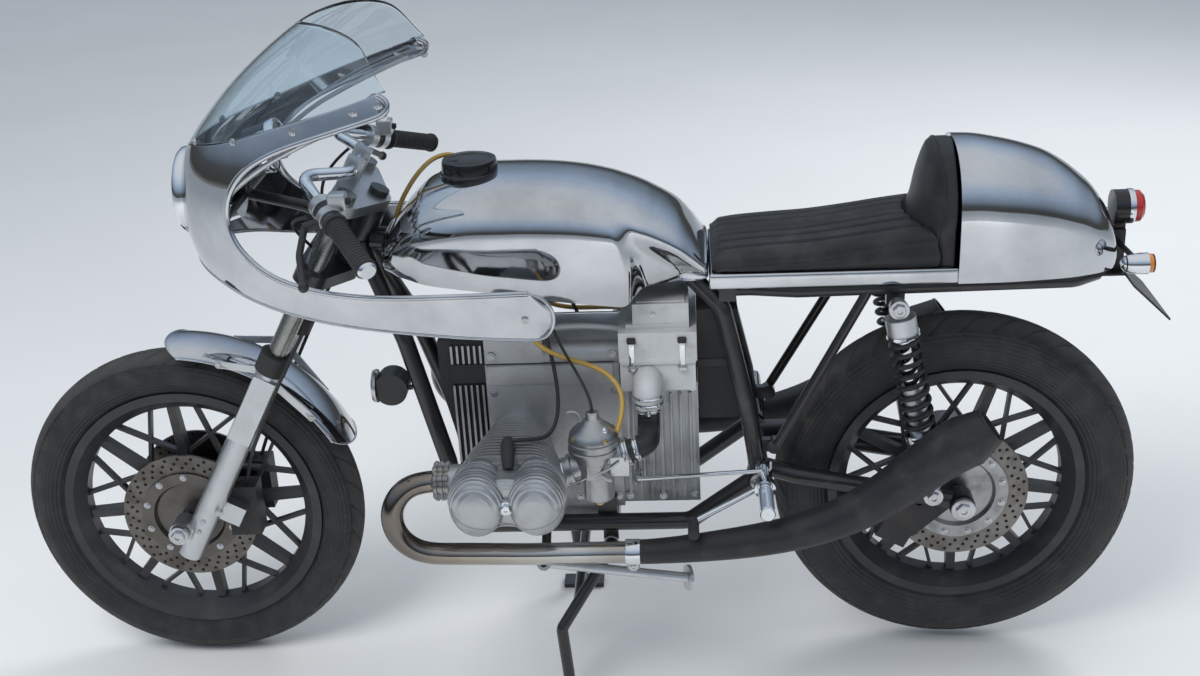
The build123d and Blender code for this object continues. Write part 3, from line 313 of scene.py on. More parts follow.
def bolts(name, rows, finish, slot=None, body="chassis", sides=6):
    """Bolt heads on washers: each row is place, way out, radius and height."""
    washer = ((-0.6, 0.001), (-0.6, 1.45), (0.22, 1.45), (0.30, 1.36), (0.30, 0.001))
    head = ((0.2, 1.0), (0.86, 1.0), (1.0, 0.84), (1.0, 0.44), (0.72, 0.38), (0.72, 0.001))
    return piece(name, *merged(
        turned([(a * height, r * radius) for a, r in profile], place, way, count)
        for place, way, radius, height in rows for profile, count in ((washer, 24), (head, sides))
    ), finish, slot, body, 30)


def bar(name, path, radius, finish, body="chassis", closed=False, sides=12, radii=None):
    """A round wire, tube or hose on a smooth curve through points."""
    line = bpy.data.curves.new(name, "CURVE")
    line.dimensions = "3D"
    line.bevel_depth, line.bevel_resolution = radius * mm, sides // 4 - 1
    line.use_fill_caps = True
    strand = line.splines.new("NURBS")
    strand.points.add(len(path) - 1)
    for k, (point, place) in enumerate(zip(strand.points, path)):
        point.co = (*place, 1)
        if radii:
            point.radius = radii[k]
    strand.order_u, strand.resolution_u = min(4, len(path)), 6
    strand.use_endpoint_u, strand.use_cyclic_u = not closed, closed
    return placed(name, line, finish, body)


def rounded_box(name, corner, opposite, radius, finish, slot=None, body="chassis", segments=4):
    """A box between two corners, with rounded edges."""
    (a, b, c), (d, e, f) = (map(pick, corner, opposite) for pick in (min, max))
    corners = [Vector(p) * mm for p in (
        (a, b, c), (d, b, c), (d, e, c), (a, e, c), (a, b, f), (d, b, f), (d, e, f), (a, e, f),
    )]
    quads = [(0, 3, 2, 1), (4, 5, 6, 7), (0, 1, 5, 4), (1, 2, 6, 5), (2, 3, 7, 6), (3, 0, 4, 7)]
    made = piece(name, corners, quads, finish, slot, body)
    with bpy.context.temp_override(object=made, active_object=made):
        edge_round = made.modifiers.new("edges", "BEVEL")
        edge_round.width, edge_round.segments = radius * mm, segments
        edge_round.limit_method, edge_round.angle_limit = "ANGLE", radians(30)
        edge_round.harden_normals = False
        bpy.ops.object.modifier_apply(modifier=edge_round.name)
    for face in made.data.polygons:
        face.use_smooth = True
    made.data.set_sharp_from_angle(angle=radians(38))
    return made


def mirrored(side, rows, shift=0):
    """Points in metres, with y given for the right side and x from the shift."""
    return [Vector((x + shift, side * y, z)) * mm for x, y, z in rows]


def smooth_step(value):
    value = min(1.0, max(0.0, value))
    return value * value * (3 - 2 * value)


def curve_through(rows, at):
    """Value of each column at a place, on a smooth curve through the rows."""
    last = len(rows) - 1
    i = max(0, min(last - 1, next((k for k in range(last) if at < rows[k + 1][0]), last - 1)))
    a, b = rows[i], rows[i + 1]
    before, after = rows[max(0, i - 1)], rows[min(last, i + 2)]
    t = (at - a[0]) / (b[0] - a[0])
    found = []
    for k in range(1, len(a)):
        span = b[0] - a[0]
        m0 = (b[k] - before[k]) / (b[0] - before[0]) * span
        m1 = (after[k] - a[k]) / (after[0] - a[0]) * span
        found.append(
            (2 * t**3 - 3 * t**2 + 1) * a[k] + (t**3 - 2 * t**2 + t) * m0
            + (3 * t**2 - 2 * t**3) * b[k] + (t**3 - t**2) * m1
        )
    return found


def spread(keys, steps):
    """Points on a smooth curve through key points, with equal steps between keys."""
    rows = [(float(k), *key) for k, key in enumerate(keys)]
    return [curve_through(rows, k / steps) for k in range((len(keys) - 1) * steps + 1)]


# Tyres: black rubber with a crowned tread, round grooves and slanted cuts, and
# fine rings moulded into the side walls.
def tyre_rubber(name, axle, tread_edge):
    rubber = Finish(name, "tyre_rubber")
    radius, turn = polar(rubber.along(0) - axle.x, rubber.along(2) - axle.z)
    tread = radius.between(tread_edge - 0.004, tread_edge)
    wall = radius.between(tread_edge - 0.018, tread_edge - 0.012) * (1 - tread)
    rings = (radius * 900).math("SINE") * (1 - tread) * 0.22
    fan = (turn * 160).math("SINE") * wall * 0.12
    grain = rubber.noise(900, 3)
    dust = rubber.noise(26, 5, 0.65)
    worn = (1 - rubber.along(1).math("ABSOLUTE").between(0.024, 0.044)) * tread
    tone = rubber.mix(dust.between(0.35, 0.8), (0.014, 0.014, 0.015), (0.036, 0.035, 0.033))
    return rubber.surface(
        Base_Color=rubber.mix(worn * (0.35 + dust * 0.5), tone, (0.060, 0.058, 0.055)),
        Roughness=0.50 + dust * 0.22 + worn * 0.14,
        Normal=rubber.bump(rings + fan + grain * 0.05, 0.0018),
    )


wall_steps, tread_steps, turn_steps = 16, 24, 540
tread_cuts, groove_depth = 36, 3.6
for name, node, body, axle, outer, width, bead in (
    ("front_rubber", "front_tyre", "front_wheel", front_axle, 329, 100, 243),
    ("rear_rubber", "rear_tyre", "rear_wheel", rear_axle, 337, 122, 230),
):
    half = width / 2
    bead_half, tread_half = half * 0.62, half * 0.72
    wall_foot, shoulder = bead + 9, outer - half * 0.34
    wall = []
    for k in range(wall_steps + 1):
        share = k / wall_steps
        radius = wall_foot + (shoulder - wall_foot) * share
        reach = bead_half + (tread_half - bead_half) * share + half * 0.32 * sin(share * pi) ** 0.8
        if 0.1 < share < 0.16 or 0.62 < share < 0.67:
            reach += 0.8
        wall.append((min(reach, half), radius))
    tread = []
    for k in range(-tread_steps, tread_steps + 1):
        share = k / tread_steps
        tread.append((half * 0.74 * share, outer - (outer - shoulder) * abs(share) ** 2.1))
    profile = [(-a, r) for a, r in wall] + tread + wall[::-1] + [(bead_half, bead), (-bead_half, bead)]
    rings = []
    for n, turn in enumerate(turns(turn_steps)):
        ring = []
        for k, (across, radius) in enumerate(profile):
            if len(wall) <= k < len(wall) + len(tread):
                lie = abs(across) / half
                phase = (n * tread_cuts / turn_steps + (0.9 if across > 0 else 0.4) - lie * 1.5) % 1
                slant = max(0.0, 1 - abs(phase - 0.5) / 0.12) * smooth_step((lie - 0.10) / 0.08)
                cut = smooth_step(slant * 1.6) * smooth_step((0.78 - lie) / 0.08)
                centre_line = exp(-((lie - 0.07) / 0.028) ** 2)
                radius -= groove_depth * max(cut, 0.8 * centre_line)
            ring.append((axle + Vector((radius * cos(turn), across, radius * sin(turn)))) * mm)
        rings.append(ring)
    rubber = tyre_rubber(name, axle * mm, (shoulder + 2) * mm)
    made = piece(name, *skin(rings, wrap=True, flip=True), rubber, body=body, sharp=40)
    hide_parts(node)

# Wheels: one-piece castings in satin black, with a little road dust in patches.
wheel_black = satin_paint("wheel_black", (0.022, 0.022, 0.024), 0.38, (0.09, 0.085, 0.08), 0.6)
dress(wheel_black, "front_wheel", "rear_wheel")


# Brake discs: ground steel rings, browned a little by heat, on bolted carriers.
def disc_finish(name, axle, tone, stain, carrier_tone):
    """Ground ring with three rows of drilled holes, painted near-black as painted shade, outside a carrier."""
    ring_from, first_row, row_pitch, round_count = 0.093, 0.099, 0.0095, 30
    steel = Finish(name)
    radius, turn = polar(steel.along(0) - axle.x, steel.along(2) - axle.z)
    row = (radius - first_row) / row_pitch
    up_from = (row.math("FRACT") - 0.5) * row_pitch
    column = turn / (2 * pi) * round_count + row.math("FLOOR") * 0.37
    round_from = (column.math("FRACT") - 0.5) * radius * (2 * pi / round_count)
    # The holes are not cut: each one is painted near-black, not metal and sunk in the bump, as painted shade
    # inside the hole.
    shaded_hole = 1 - polar(up_from, round_from)[0].between(0.0029, 0.0033)
    ring = radius.between(ring_from, ring_from + 0.0005)
    shaded_hole = shaded_hole * ring * (1 - row.between(2.98, 3.0)) * row.between(0.0, 0.02)
    groove = (radius * 5200).math("SINE") * 0.5 + 0.5
    haze = steel.noise(24, 6, 0.62)
    ground = steel.mix(haze.between(0.35, 0.75), tone, stain)
    carrier = steel.mix(haze.between(0.4, 0.8) * 0.6, carrier_tone, (0.10, 0.09, 0.08))
    # Painted shade: the holes take the near-black tone.
    return steel.surface(
        Base_Color=steel.mix(shaded_hole, steel.mix(ring, carrier, ground), (0.004, 0.004, 0.004)),
        Metallic=1 - shaded_hole, Roughness=0.27 + groove * 0.06 + haze * 0.16 + shaded_hole * 0.4,
        Normal=steel.bump(groove * 0.06 * ring - shaded_hole, 0.0016),
    )


# The front disc and its carrier take darker tones than the rear disc: painted shade, because the front disc stands
# in shadow.
dress(disc_finish(
    "front_disc_shaded_steel", front_axle * mm, (0.20, 0.185, 0.165), (0.11, 0.09, 0.075), (0.16, 0.145, 0.13)
), "front_discs")
dress(disc_finish(
    "rear_disc_steel", rear_axle * mm, (0.26, 0.245, 0.23), (0.15, 0.13, 0.115), (0.42, 0.42, 0.42)
), "rear_disc")
plated = brushed_metal("plated_steel", (0.62, 0.62, 0.63), 0.22, (0.36, 0.33, 0.29))


def bolt_circle(axle, y, reach, count, radius, height):
    """Bolt rows round an axle, on the face at y."""
    rows = []
    for turn in turns(count):
        a = turn + pi / count
        at = axle + Vector((reach * cos(a), y, reach * sin(a)))
        rows.append((at, (0, 1 if y > 0 else -1, 0), radius, height))
    return rows


front_rows = [row for y in (-58.5, 58.5) for row in bolt_circle(front_axle, y, 84, 10, 4.6, 4)]
bolts("front_disc_bolts", front_rows, plated, "disc_steel", "front_wheel")
bolts("rear_disc_bolts", bolt_circle(rear_axle, -68.5, 84, 12, 4.6, 4), plated, "disc_steel", "rear_wheel")

# Fork: satin alloy sliders and upper yoke, steel tubes, rubber dust cups and a black
# lower yoke. Both axles are chromed.
fork_alloy = brushed_metal("fork_alloy", (0.66, 0.67, 0.68), 0.30, (0.48, 0.48, 0.48))
chrome = Finish("bright_chrome", "chrome")
chrome_spot = chrome.noise(60, 5, 0.7).between(0.55, 0.8)
chrome.surface(Base_Color=(0.80, 0.81, 0.83), Metallic=1.0, Roughness=0.05 + chrome_spot * 0.14)
soft_rubber = satin_paint(
    "soft_rubber", (0.020, 0.020, 0.021), 0.62, (0.06, 0.058, 0.055), slot="rubber_black"
)
frame_black = coated(
    "frame_black", ((0.012, 0.012, 0.013), (0.07, 0.066, 0.06)), (18, 5, 0.6), (0.5, 0.85, 0.5), (0.22, 0.16),
    Coat_Weight=0.35, Coat_Roughness=0.12,
)
dress(fork_alloy, "fork_sliders", "upper_yoke")
dress(chrome, "front_axle", "rear_axle")
dress(brushed_metal("tube_steel", (0.34, 0.34, 0.32), 0.20, (0.17, 0.17, 0.15)), "fork_tubes")
dress(soft_rubber, "dust_covers")
dress(frame_black, "lower_yoke", "main_frame", "rear_subframe", "swingarm")
heat_black = satin_paint("heat_black", (0.018, 0.018, 0.019), 0.50, (0.10, 0.075, 0.055), 0.4)
dress(heat_black, "front_calipers", "rear_caliper")

# The fairing is hand-beaten aluminium sheet, polished to a mirror. Its side is cut
# away in a C round the bars, and the edge of the cut is rolled over a wire.
mirror_alloy = Finish("mirror_alloy", "polished_alloy")
mirror_haze = mirror_alloy.noise(7, 6, 0.62)
mirror_smear = mirror_alloy.noise(30, 5, 0.7, stretch=(1, 1, 3)).between(0.5, 0.85)
mirror_alloy.surface(
    Base_Color=mirror_alloy.mix(mirror_haze.between(0.30, 0.75), (0.66, 0.67, 0.69), (0.5016, 0.5092, 0.5244)),
    Metallic=1.0, Roughness=0.05 + mirror_haze.between(0.45, 0.8) * 0.07 + mirror_smear * 0.08,
    Normal=mirror_alloy.bump(mirror_alloy.noise(9, 2, 0.4), 0.0006),
)
shell_rows = (
    # height, nose x, half width
    (740, -560, 236), (823, -634, 246), (900, -663, 252), (985, -668, 250), (1060, -644, 240),
    (1130, -588, 225), (1190, -526, 206), (1250, -448, 170), (1285, -388, 142),
)
bow_centre = -250.0


def shell_point(round_, height, out=0.0):
    """Point on the bullet shape: round_ 0 at the nose, -1 and 1 where the sides run straight."""
    nose, half = curve_through(shell_rows, height)
    nose, half = nose - out, half + out
    if abs(round_) <= 1:
        angle = round_ * pi / 2
        return Vector((bow_centre - (bow_centre - nose) * cos(angle), half * sin(angle), height)) * mm
    beyond = bow_centre + (abs(round_) - 1) * (bow_centre - nose) * pi / 2
    return Vector((beyond, half if round_ > 0 else -half, height)) * mm


def shell_round(x, height):
    """How far round the shape a side-view point lies."""
    nose = curve_through(shell_rows, height)[0]
    if x >= bow_centre:
        return 1 + (x - bow_centre) / ((bow_centre - nose) * pi / 2)
    return acos(min(1.0, (bow_centre - x) / (bow_centre - nose))) / (pi / 2)


def rim(keys):
    """Side-view points as places on the shape."""
    return [(shell_round(x, z), z) for x, z in keys]


def strips(first, second, steps):
    """Straight columns from one curve to the next."""
    return [
        [(a + (c - a) * k / steps, b + (d - b) * k / steps) for k in range(steps + 1)]
        for (a, b), (c, d) in zip(first, second)
    ]


def sheet(name, columns, out, thickness, finish):
    """A sheet through columns on both sides of the shape, joined at the nose."""
    halves = []
    for side in (-1, 1):
        rings = [[shell_point(side * w, z, out) for w, z in column] for column in columns]
        halves.append(skin(rings, closed=False, flip=side < 0))
    made = piece(name, *merged(halves), finish, sharp=60)
    with bpy.context.temp_override(object=made, active_object=made):
        weld = made.modifiers.new("weld", "WELD")
        weld.merge_threshold = 0.4 * mm
        bpy.ops.object.modifier_apply(modifier=weld.name)
        shell = made.modifiers.new("sheet", "SOLIDIFY")
        shell.thickness, shell.offset = thickness * mm, -1.0
        bpy.ops.object.modifier_apply(modifier=shell.name)
    return made


cut_keys = (
    (-34, 849), (-150, 847), (-290, 848), (-400, 859), (-476, 882), (-524, 922), (-541, 968),
    (-530, 1016), (-494, 1060), (-430, 1095), (-340, 1125), (-256, 1150),
)
lower_keys = ((-22, 759), (-150, 768), (-300, 787), (-430, 804), (-520, 822), (-600, 847))
upper_keys = ((-560, 1088), (-410, 1136), (-262, 1184))
nose_low, nose_high = 870, 1058
cut = spread(rim(cut_keys), 16)
low = spread(rim(lower_keys) + [(0.0, nose_low)], 16)
nose = [(0.0, nose_low + (nose_high - nose_low) * k / 32) for k in range(33)]
high = spread([(0.0, nose_high)] + rim(upper_keys), 16)
tail_arc = spread(rim(((-34, 849), (-14, 843), (1, 828), (8, 806), (5, 783), (-6, 767), (-22, 759))), 4)
top_arc = spread(rim(((-256, 1150), (-243, 1161), (-246, 1175), (-262, 1184))), 8)
fairing_columns = [tail_arc] + strips(cut, low + nose[1:] + high[1:], 24) + [top_arc]
fairing_skin = sheet("fairing_skin", fairing_columns, 0.0, 2.2, mirror_alloy)
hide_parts("fairing")
rolled_edge = (tail_arc[:1] + cut[1:] + top_arc[1:])[::3]
hem = (tail_arc + low[1:])[::4]
for side, name in both_sides:
    bar(f"fairing_roll_{name}", [shell_point(side * w, z, 0.5) for w, z in rolled_edge], 5, mirror_alloy)
    bar(f"fairing_hem_{name}", [shell_point(side * w, z, 0.2) for w, z in hem], 2.6, mirror_alloy)

# Windscreen: one clear blown sheet behind the fairing's top edge.
clear_sheet = Finish("clear_sheet", "clear_screen")
clear_sheet.surface(Base_Color=(0.86, 0.94, 0.98), Roughness=0.02, IOR=1.49, Transmission_Weight=1.0)
bottom = spread([(0.0, nose_high)] + rim(upper_keys), 10)
bottom = [curve_through([(k / 30, *b) for k, b in enumerate(bottom)], k / 60) for k in range(61)]
top = spread((
    (0.0, 1265), (0.20, 1272), (0.392, 1276), (0.54, 1276), (0.662, 1273), (0.77, 1267), (0.85, 1258),
    (0.906, 1244), (0.95, 1224), (0.985, 1203), (1.013, 1187),
), 6)
screen = sheet("screen_sheet", strips(bottom, top, 40), -1.5, 3, clear_sheet)
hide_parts("windscreen")


# Fuel tank: two pressed halves welded and polished, with a knee hollow at the back
# of each side. The tail is pressed the same way.
def pressed_side(v, split, wide, low, shoulder, top, tuck, round_y, round_z):
    """Half width and height at v: 0 on the crown, split at the shoulder and 1 at the foot."""
    if abs(v) > split:
        share = (abs(v) - split) / (1 - split)
        return wide - tuck * share**2.4, shoulder + (low - shoulder) * share
    angle = (1 - abs(v) / split) * pi / 2
    across = wide * cos(angle) ** round_y if abs(v) > 1e-6 else 0.0
    return across, shoulder + (top - shoulder) * sin(angle) ** round_z


def across_ring(count):
    """Places from -1 to 1, each with the side that it lies on."""
    places = [k / (count - 1) * 2 - 1 for k in range(count)]
    return [(v, -1 if v < 0 else 1) for v in places]


tank_rows = (
    # x, half width, bottom, shoulder, top
    (-300, 96, 832, 858, 890), (-282, 110, 829, 864, 915), (-262, 121, 826, 872, 938),
    (-225, 137, 820, 888, 969), (-150, 149, 812, 902, 988), (-80, 151, 802, 904, 990),
    (-11, 151, 790, 903, 987), (50, 149, 781, 899, 979), (99, 146, 774, 892, 967),
    (122, 143, 773, 887, 959), (138, 140, 786, 884, 953), (150, 138, 796, 881, 948),
    (171, 132, 799, 875, 938), (215, 122, 802, 858, 911), (240, 113, 803, 842, 884), (262, 105, 806, 826, 852),
)
tunnel_rows = ((-300, 46, 876), (130, 46, 876), (142, 78, 850), (212, 78, 848), (222, 88, 828), (262, 90, 814))
crease_rows = ((760, 126), (783, 125), (837, 121), (880, 112), (912, 101), (940, 84), (956, 58), (964, 22))
ridge_rows = ((0, 968), (40, 962), (81, 954), (120, 940), (171, 912), (215, 880), (245, 848), (262, 828))
tank_front, tank_rear = -300, 262
knee_depth, knee_front_soft, knee_top_soft = 21, 38, 62


def tank_ring(x, scale=1.0, push=0.0):
    """Closed outline of the tank at a station, with the frame tunnel below."""
    wide, low_z, shoulder_z, top_z = curve_through(tank_rows, x)
    tunnel, roof = curve_through(tunnel_rows, x)
    ridge = curve_through(ridge_rows, max(0.0, x))[0]
    ring = []
    for v, way in across_ring(97):
        y, z = pressed_side(v, 0.6, wide, low_z, shoulder_z, top_z, 13, 0.82, 0.86)
        crease = curve_through(crease_rows, min(z, 963.9))[0]
        hollow = smooth_step((x - crease) / knee_front_soft) * smooth_step((ridge - z) / knee_top_soft)
        y = max(y - knee_depth * hollow, min(y, tunnel + 4))
        ring.append((way * y, z))
    foot = ring[-1][0] - 8
    ring += [(foot, low_z + 0.5), (tunnel + 6, low_z + 1), (tunnel, roof - 8), (tunnel - 10, roof)]
    ring += [(-y, z) for y, z in reversed(ring[-3:])] + [(-foot, low_z + 0.5)]
    middle = (low_z + top_z) / 2
    return [Vector((x + push, y * scale, middle + (z - middle) * scale)) * mm for y, z in ring]


rings = [tank_ring(tank_front, scale, -push) for scale, push in ((0.86, 8.5), (0.93, 6.5), (0.975, 3.5))]
rings += [tank_ring(tank_front + (tank_rear - tank_front) * k / 240) for k in range(241)]
rings += [tank_ring(tank_rear, scale, push) for scale, push in ((0.985, 2.2), (0.955, 4), (0.90, 5.2))]
tank_skin = piece("tank_skin", *skin(rings, capped=True, flip=True), mirror_alloy, sharp=50)
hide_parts("fuel_tank")

# Filler cap: a low domed black cap that screws into the tank's neck.
gloss_black = satin_paint("gloss_black", (0.010, 0.010, 0.012), 0.10, (0.03, 0.03, 0.03), 0.3, "polished_alloy")
cap = lathe("cap_dome", [
    (-14, 1), (-14, 50), (-4, 53.5), (3, 53.5), (6, 50), (22, 49),
    (26, 47.5), (27.5, 43), (26.5, 40), (28.5, 36), (31, 22), (32, 1),
], (-150, 0, 984), (0, 0, 1), gloss_black, steps=64)
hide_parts("filler_cap")

# Seat base and tail: one polished shell, with a flat strip that shows under the pad.
hump_rows = (
    # x, half width, bottom, shoulder, top
    (695, 128, 795, 902, 1021), (735, 128, 795, 902, 1019), (777, 127, 795, 898, 1011),
    (820, 123, 795, 892, 1000), (861, 118, 795, 883, 985), (893, 112, 795, 872, 966),
    (921, 103, 795, 860, 944), (937, 97, 795, 852, 929), (950, 90, 795, 844, 912),
    (960, 83, 795, 837, 896), (968, 76, 796, 829, 876), (973, 69, 799, 822, 860), (976, 62, 803, 815, 845),
)
hump_front, hump_length = 695, 281
rings = []
for k in range(97):
    x = hump_front + hump_length * (1 - (1 - k / 96) ** 1.6)
    wide, low_z, shoulder_z, top_z = curve_through(hump_rows, x)
    ring = []
    for v, way in across_ring(65):
        y, z = pressed_side(v, 0.7, wide, low_z, shoulder_z, top_z, 5, 0.88, 0.9)
        ring.append(Vector((x, way * y, z)) * mm)
    rings.append(ring)
tail_skin = piece("tail_skin", *skin(rings, capped=True, flip=True), mirror_alloy, sharp=50)
rounded_box("seat_strip", (268, -123, 795), (697, 123, 823), 5, mirror_alloy)
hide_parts("seat_base")

# Seat pad: black leather over foam, sewn in long channels.
leather = Finish("black_leather", "black_leather")
leather_cell = leather.node(
    "ShaderNodeTexVoronoi", {"feature": "DISTANCE_TO_EDGE"}, Vector=leather.place(), Scale=420.0
)
leather_fold = leather.noise(16, 5, 0.6)
leather.surface(
    Base_Color=leather.mix(leather_fold.between(0.4, 0.8), (0.012, 0.012, 0.013), (0.034, 0.033, 0.033)),
    Roughness=0.27 + leather_fold * 0.16, Normal=leather.bump(leather_cell.between(0.0, 0.12), 0.00035),
)
pad_rows = (
    # x, half width, crown, shoulder
    (273, 108, 856, 834), (290, 112, 861, 836), (330, 117, 865, 839), (400, 118, 869, 843), (459, 118, 872, 847),
    (532, 118, 880, 855), (600, 118, 889, 863), (662, 118, 896, 869),
)
pad_front, pad_length, pad_foot = 273, 386, 823.6
side_bulge, side_drop, side_from = 4.5, 7, 0.80
channels, channel_half, channel_depth, crown_lift = (-84, -56, -28, 0, 28, 56, 84), 3.0, 5.2, 1.4
bump_flare = 5


def bow(y):
    """Where the bump pad's curved front lies at a distance from the middle."""
    radius, middle_x = 159.3, 772.3
    return middle_x - sqrt(radius**2 - y**2)


rings = []
for k in range(141):
    s = k / 140
    wide, crown_z, shoulder_z = curve_through(pad_rows, min(pad_front + pad_length * s, 661.9))
    side_top, sag = shoulder_z - side_drop, (crown_z - 836) * 0.35 * (1 - smooth_step(s / 0.05))
    sag += 2 * (1 - smooth_step((1 - s) / 0.03))
    ring = []
    for v, way in across_ring(161):
        if abs(v) > side_from:
            share = (abs(v) - side_from) / (1 - side_from)
            y, z = wide - side_bulge * (2 * share - 1) ** 2, side_top + (pad_foot - side_top) * share
        else:
            angle = (1 - abs(v) / side_from) * pi / 2
            y = (wide - side_bulge) * cos(angle) ** 0.62 if abs(v) > 1e-6 else 0.0
            nearest = min(abs(way * y - channel) for channel in channels)
            dip = exp(-((nearest / channel_half) ** 2)) * smooth_step((s - 0.015) / 0.03)
            z = side_top + (crown_z - side_top) * sin(angle) ** 0.62 + crown_lift - channel_depth * dip
        x = pad_front + (bow(min(abs(y), 118)) - 1.5 - pad_front) * s
        ring.append(Vector((x, way * y, max(z - sag, pad_foot))) * mm)
    rings.append(ring)
pad = piece("seat_leather", *skin(rings, capped=True, flip=True), leather, sharp=60)
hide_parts("seat_pad")

# Bump pad: a leather bolster on the front of the tail, with piping round its face.
lean_rows = ((823, 0), (880, 0), (917, 11), (960, 20), (1004, 35), (1017, 47))
pad_back = 694.4
rings = []
for k in range(61):
    if k > 20:
        angle = pi / 2 * (k - 20) / 40
        z, wide = 905 + 112 * sin(angle) ** 0.94, 113.5 * max(0.02, cos(angle)) ** 0.86
    else:
        z, wide = pad_foot + 81.4 * k / 20, 112 + 1.5 * k / 20
    lean = curve_through(lean_rows, z)[0]
    ring = []
    for a in turns(96):
        c, s = cos(a), sin(a)
        y = wide * (abs(s) ** 0.5) * (1 if s > 0 else -1)
        front = min(688.0, bow(y) + lean + 1.0) + bump_flare * (abs(y) / max(wide, 1.0)) ** 6
        middle, deep = (front + pad_back) / 2, (pad_back - front) / 2
        ring.append(Vector((middle - deep * (abs(c) ** 0.3) * (1 if c > 0 else -1), y, z)) * mm)
    rings.append(ring)
bolster = piece("tail_leather", *skin(rings, capped=True), leather, sharp=70)
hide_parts("hump_pad")
bar("tail_piping", [ring[16] for ring in rings] + [ring[80] for ring in reversed(rings)], 2, leather)

# Engine: a sand-cast alloy block with a plain raised band along each side, joint
# lines, ribs on the gearbox and cover screws. Starter pipes and choke rods lie on top.
cast_alloy = Finish("cast_alloy")
cast_grain = cast_alloy.noise(700, 3, 0.6)
cast_stain = cast_alloy.noise(12, 6, 0.65)
# Towards the bottom of the block the dark stain patches spread wider and the surface is rougher: painted shade on
# top of the real stains.
cast_low_shade = 1 - cast_alloy.along(2).between(0.36, 0.60)
cast_alloy.surface(
    Base_Color=cast_alloy.mix(
        cast_stain.between(0.42, 0.78) * (0.35 + cast_low_shade * 0.5), (0.52, 0.525, 0.53), (0.17, 0.165, 0.155)
    ),
    Metallic=0.85, Roughness=0.36 + cast_stain * 0.22 + cast_low_shade * 0.1,
    Normal=cast_alloy.bump(cast_grain, 0.00035),
)
dress(cast_alloy, "engine_block", "gearbox", "cylinders", "cylinder_heads")
block_y = 83
for side, name in both_sides:
    rounded_box(f"engine_band_{name}", (-138, side * block_y, 607), (93, side * 91, 645), 2.5, cast_alloy)
    # The two black strips along the band's top and bottom, where it meets the block, are painted shade; the other
    # two are the cover and sump joints.
    for line, x, z, far_x, far_z in (
        (f"band_corner_shade_{name}_0", -139, 604, 94, 606.2), (f"band_corner_shade_{name}_1", -139, 646, 94, 648.2),
        (f"cover_joint_{name}", 92, 380, 94.5, 602), (f"sump_joint_{name}", -140, 386, 92, 388.4),
    ):
        rounded_box(line, (x, side * block_y, z), (far_x, side * 84.6, far_z), 0.4, frame_black, segments=2)
    for k in range(7):
        x = 122 + 17.5 * k
        rounded_box(
            f"gearbox_rib_{name}_{k}", (x, side * 85, 392), (x + 5, side * 90, 584), 1.6, cast_alloy, segments=2
        )
block_screws = ((-128, 590), (-128, 372), (-60, 372), (20, 372), (92, 372), (92, 590), (-128, 664), (92, 664))
gearbox_screws = ((113, 372), (175, 370), (235, 372), (113, 592), (235, 592))
bolts("engine_screws", [
    ((x, side * y, z), (0, side, 0), 5, 4)
    for y, places in ((88, block_screws), (86, gearbox_screws)) for side in (-1, 1) for x, z in places
], plated)
for side, name in both_sides:
    pipe = mirrored(side, ((-40, 70, 708), (10, 70, 716), (60, 70, 716), (104, 70, 706)))
    bar(f"starter_pipe_{name}", pipe, 8, cast_alloy)
    bar(f"choke_rod_{name}", mirrored(side, ((-10, 66, 736), (60, 66, 737), (104, 66, 735))), 2.5, chrome)

# Front cover: black ribbed casting over the generator, its rib edges rubbed bright.
cover_black = Finish("cover_black")
cover_dust = cover_black.noise(30, 5, 0.6)
cover_edge = cover_black.along(1).math("ABSOLUTE").between(0.0875, 0.0879)
cover_bright = cover_edge * (1 - cover_dust.between(0.62, 0.8) * 0.6)
cover_black.surface(
    Base_Color=cover_black.mix(cover_bright, (0.016, 0.016, 0.017), (0.46, 0.46, 0.47)),
    Metallic=cover_bright, Roughness=0.46 - cover_bright * 0.12 + cover_dust * 0.15,
    Normal=cover_black.bump(cover_black.noise(600, 2), 0.0002),
)
dress(cover_black, "front_cover")

# Cylinders stand out to each side. Their rocker covers are cast in two lobes with
# fine ribs over the top, a moulded line round the end and one nut between the lobes.
cover_alloy = coated(
    "cover_alloy", ((0.50, 0.505, 0.515), (0.26, 0.255, 0.25)), (20, 6, 0.6), (0.4, 0.8, 0.55), (0.30, 0.2),
    (500, 3, 0.00018), Metallic=0.9,
)
lobe_keys = (
    # how far out, share of the full width
    (290, 0.97), (321, 1.0), (338, 0.975), (352, 0.90), (362, 0.78), (369, 0.60), (372.4, 0.40), (373.4, 0.16),
)
lobe_foot, lobe_end, bridge_end = 289, 373.4, 346
lobe_apart, lobe_wide, lobe_high = 51, 50, 60
lobe_steps, lobe_round, rib_pitch = 140, 72, 7.4
cylinder_z = 501
cylinder_places = ((-1, -85, "left"), (1, -55, "right"))


def lobe_share(reach):
    return curve_through(lobe_keys, reach)[0]


def lobe_reach(share):
    """How far out the dome lies where it has narrowed to a share of its width."""
    low, high = 321.0, lobe_end
    for _ in range(30):
        middle = (low + high) / 2
        low, high = (middle, high) if lobe_share(middle) > share else (low, middle)
    return low


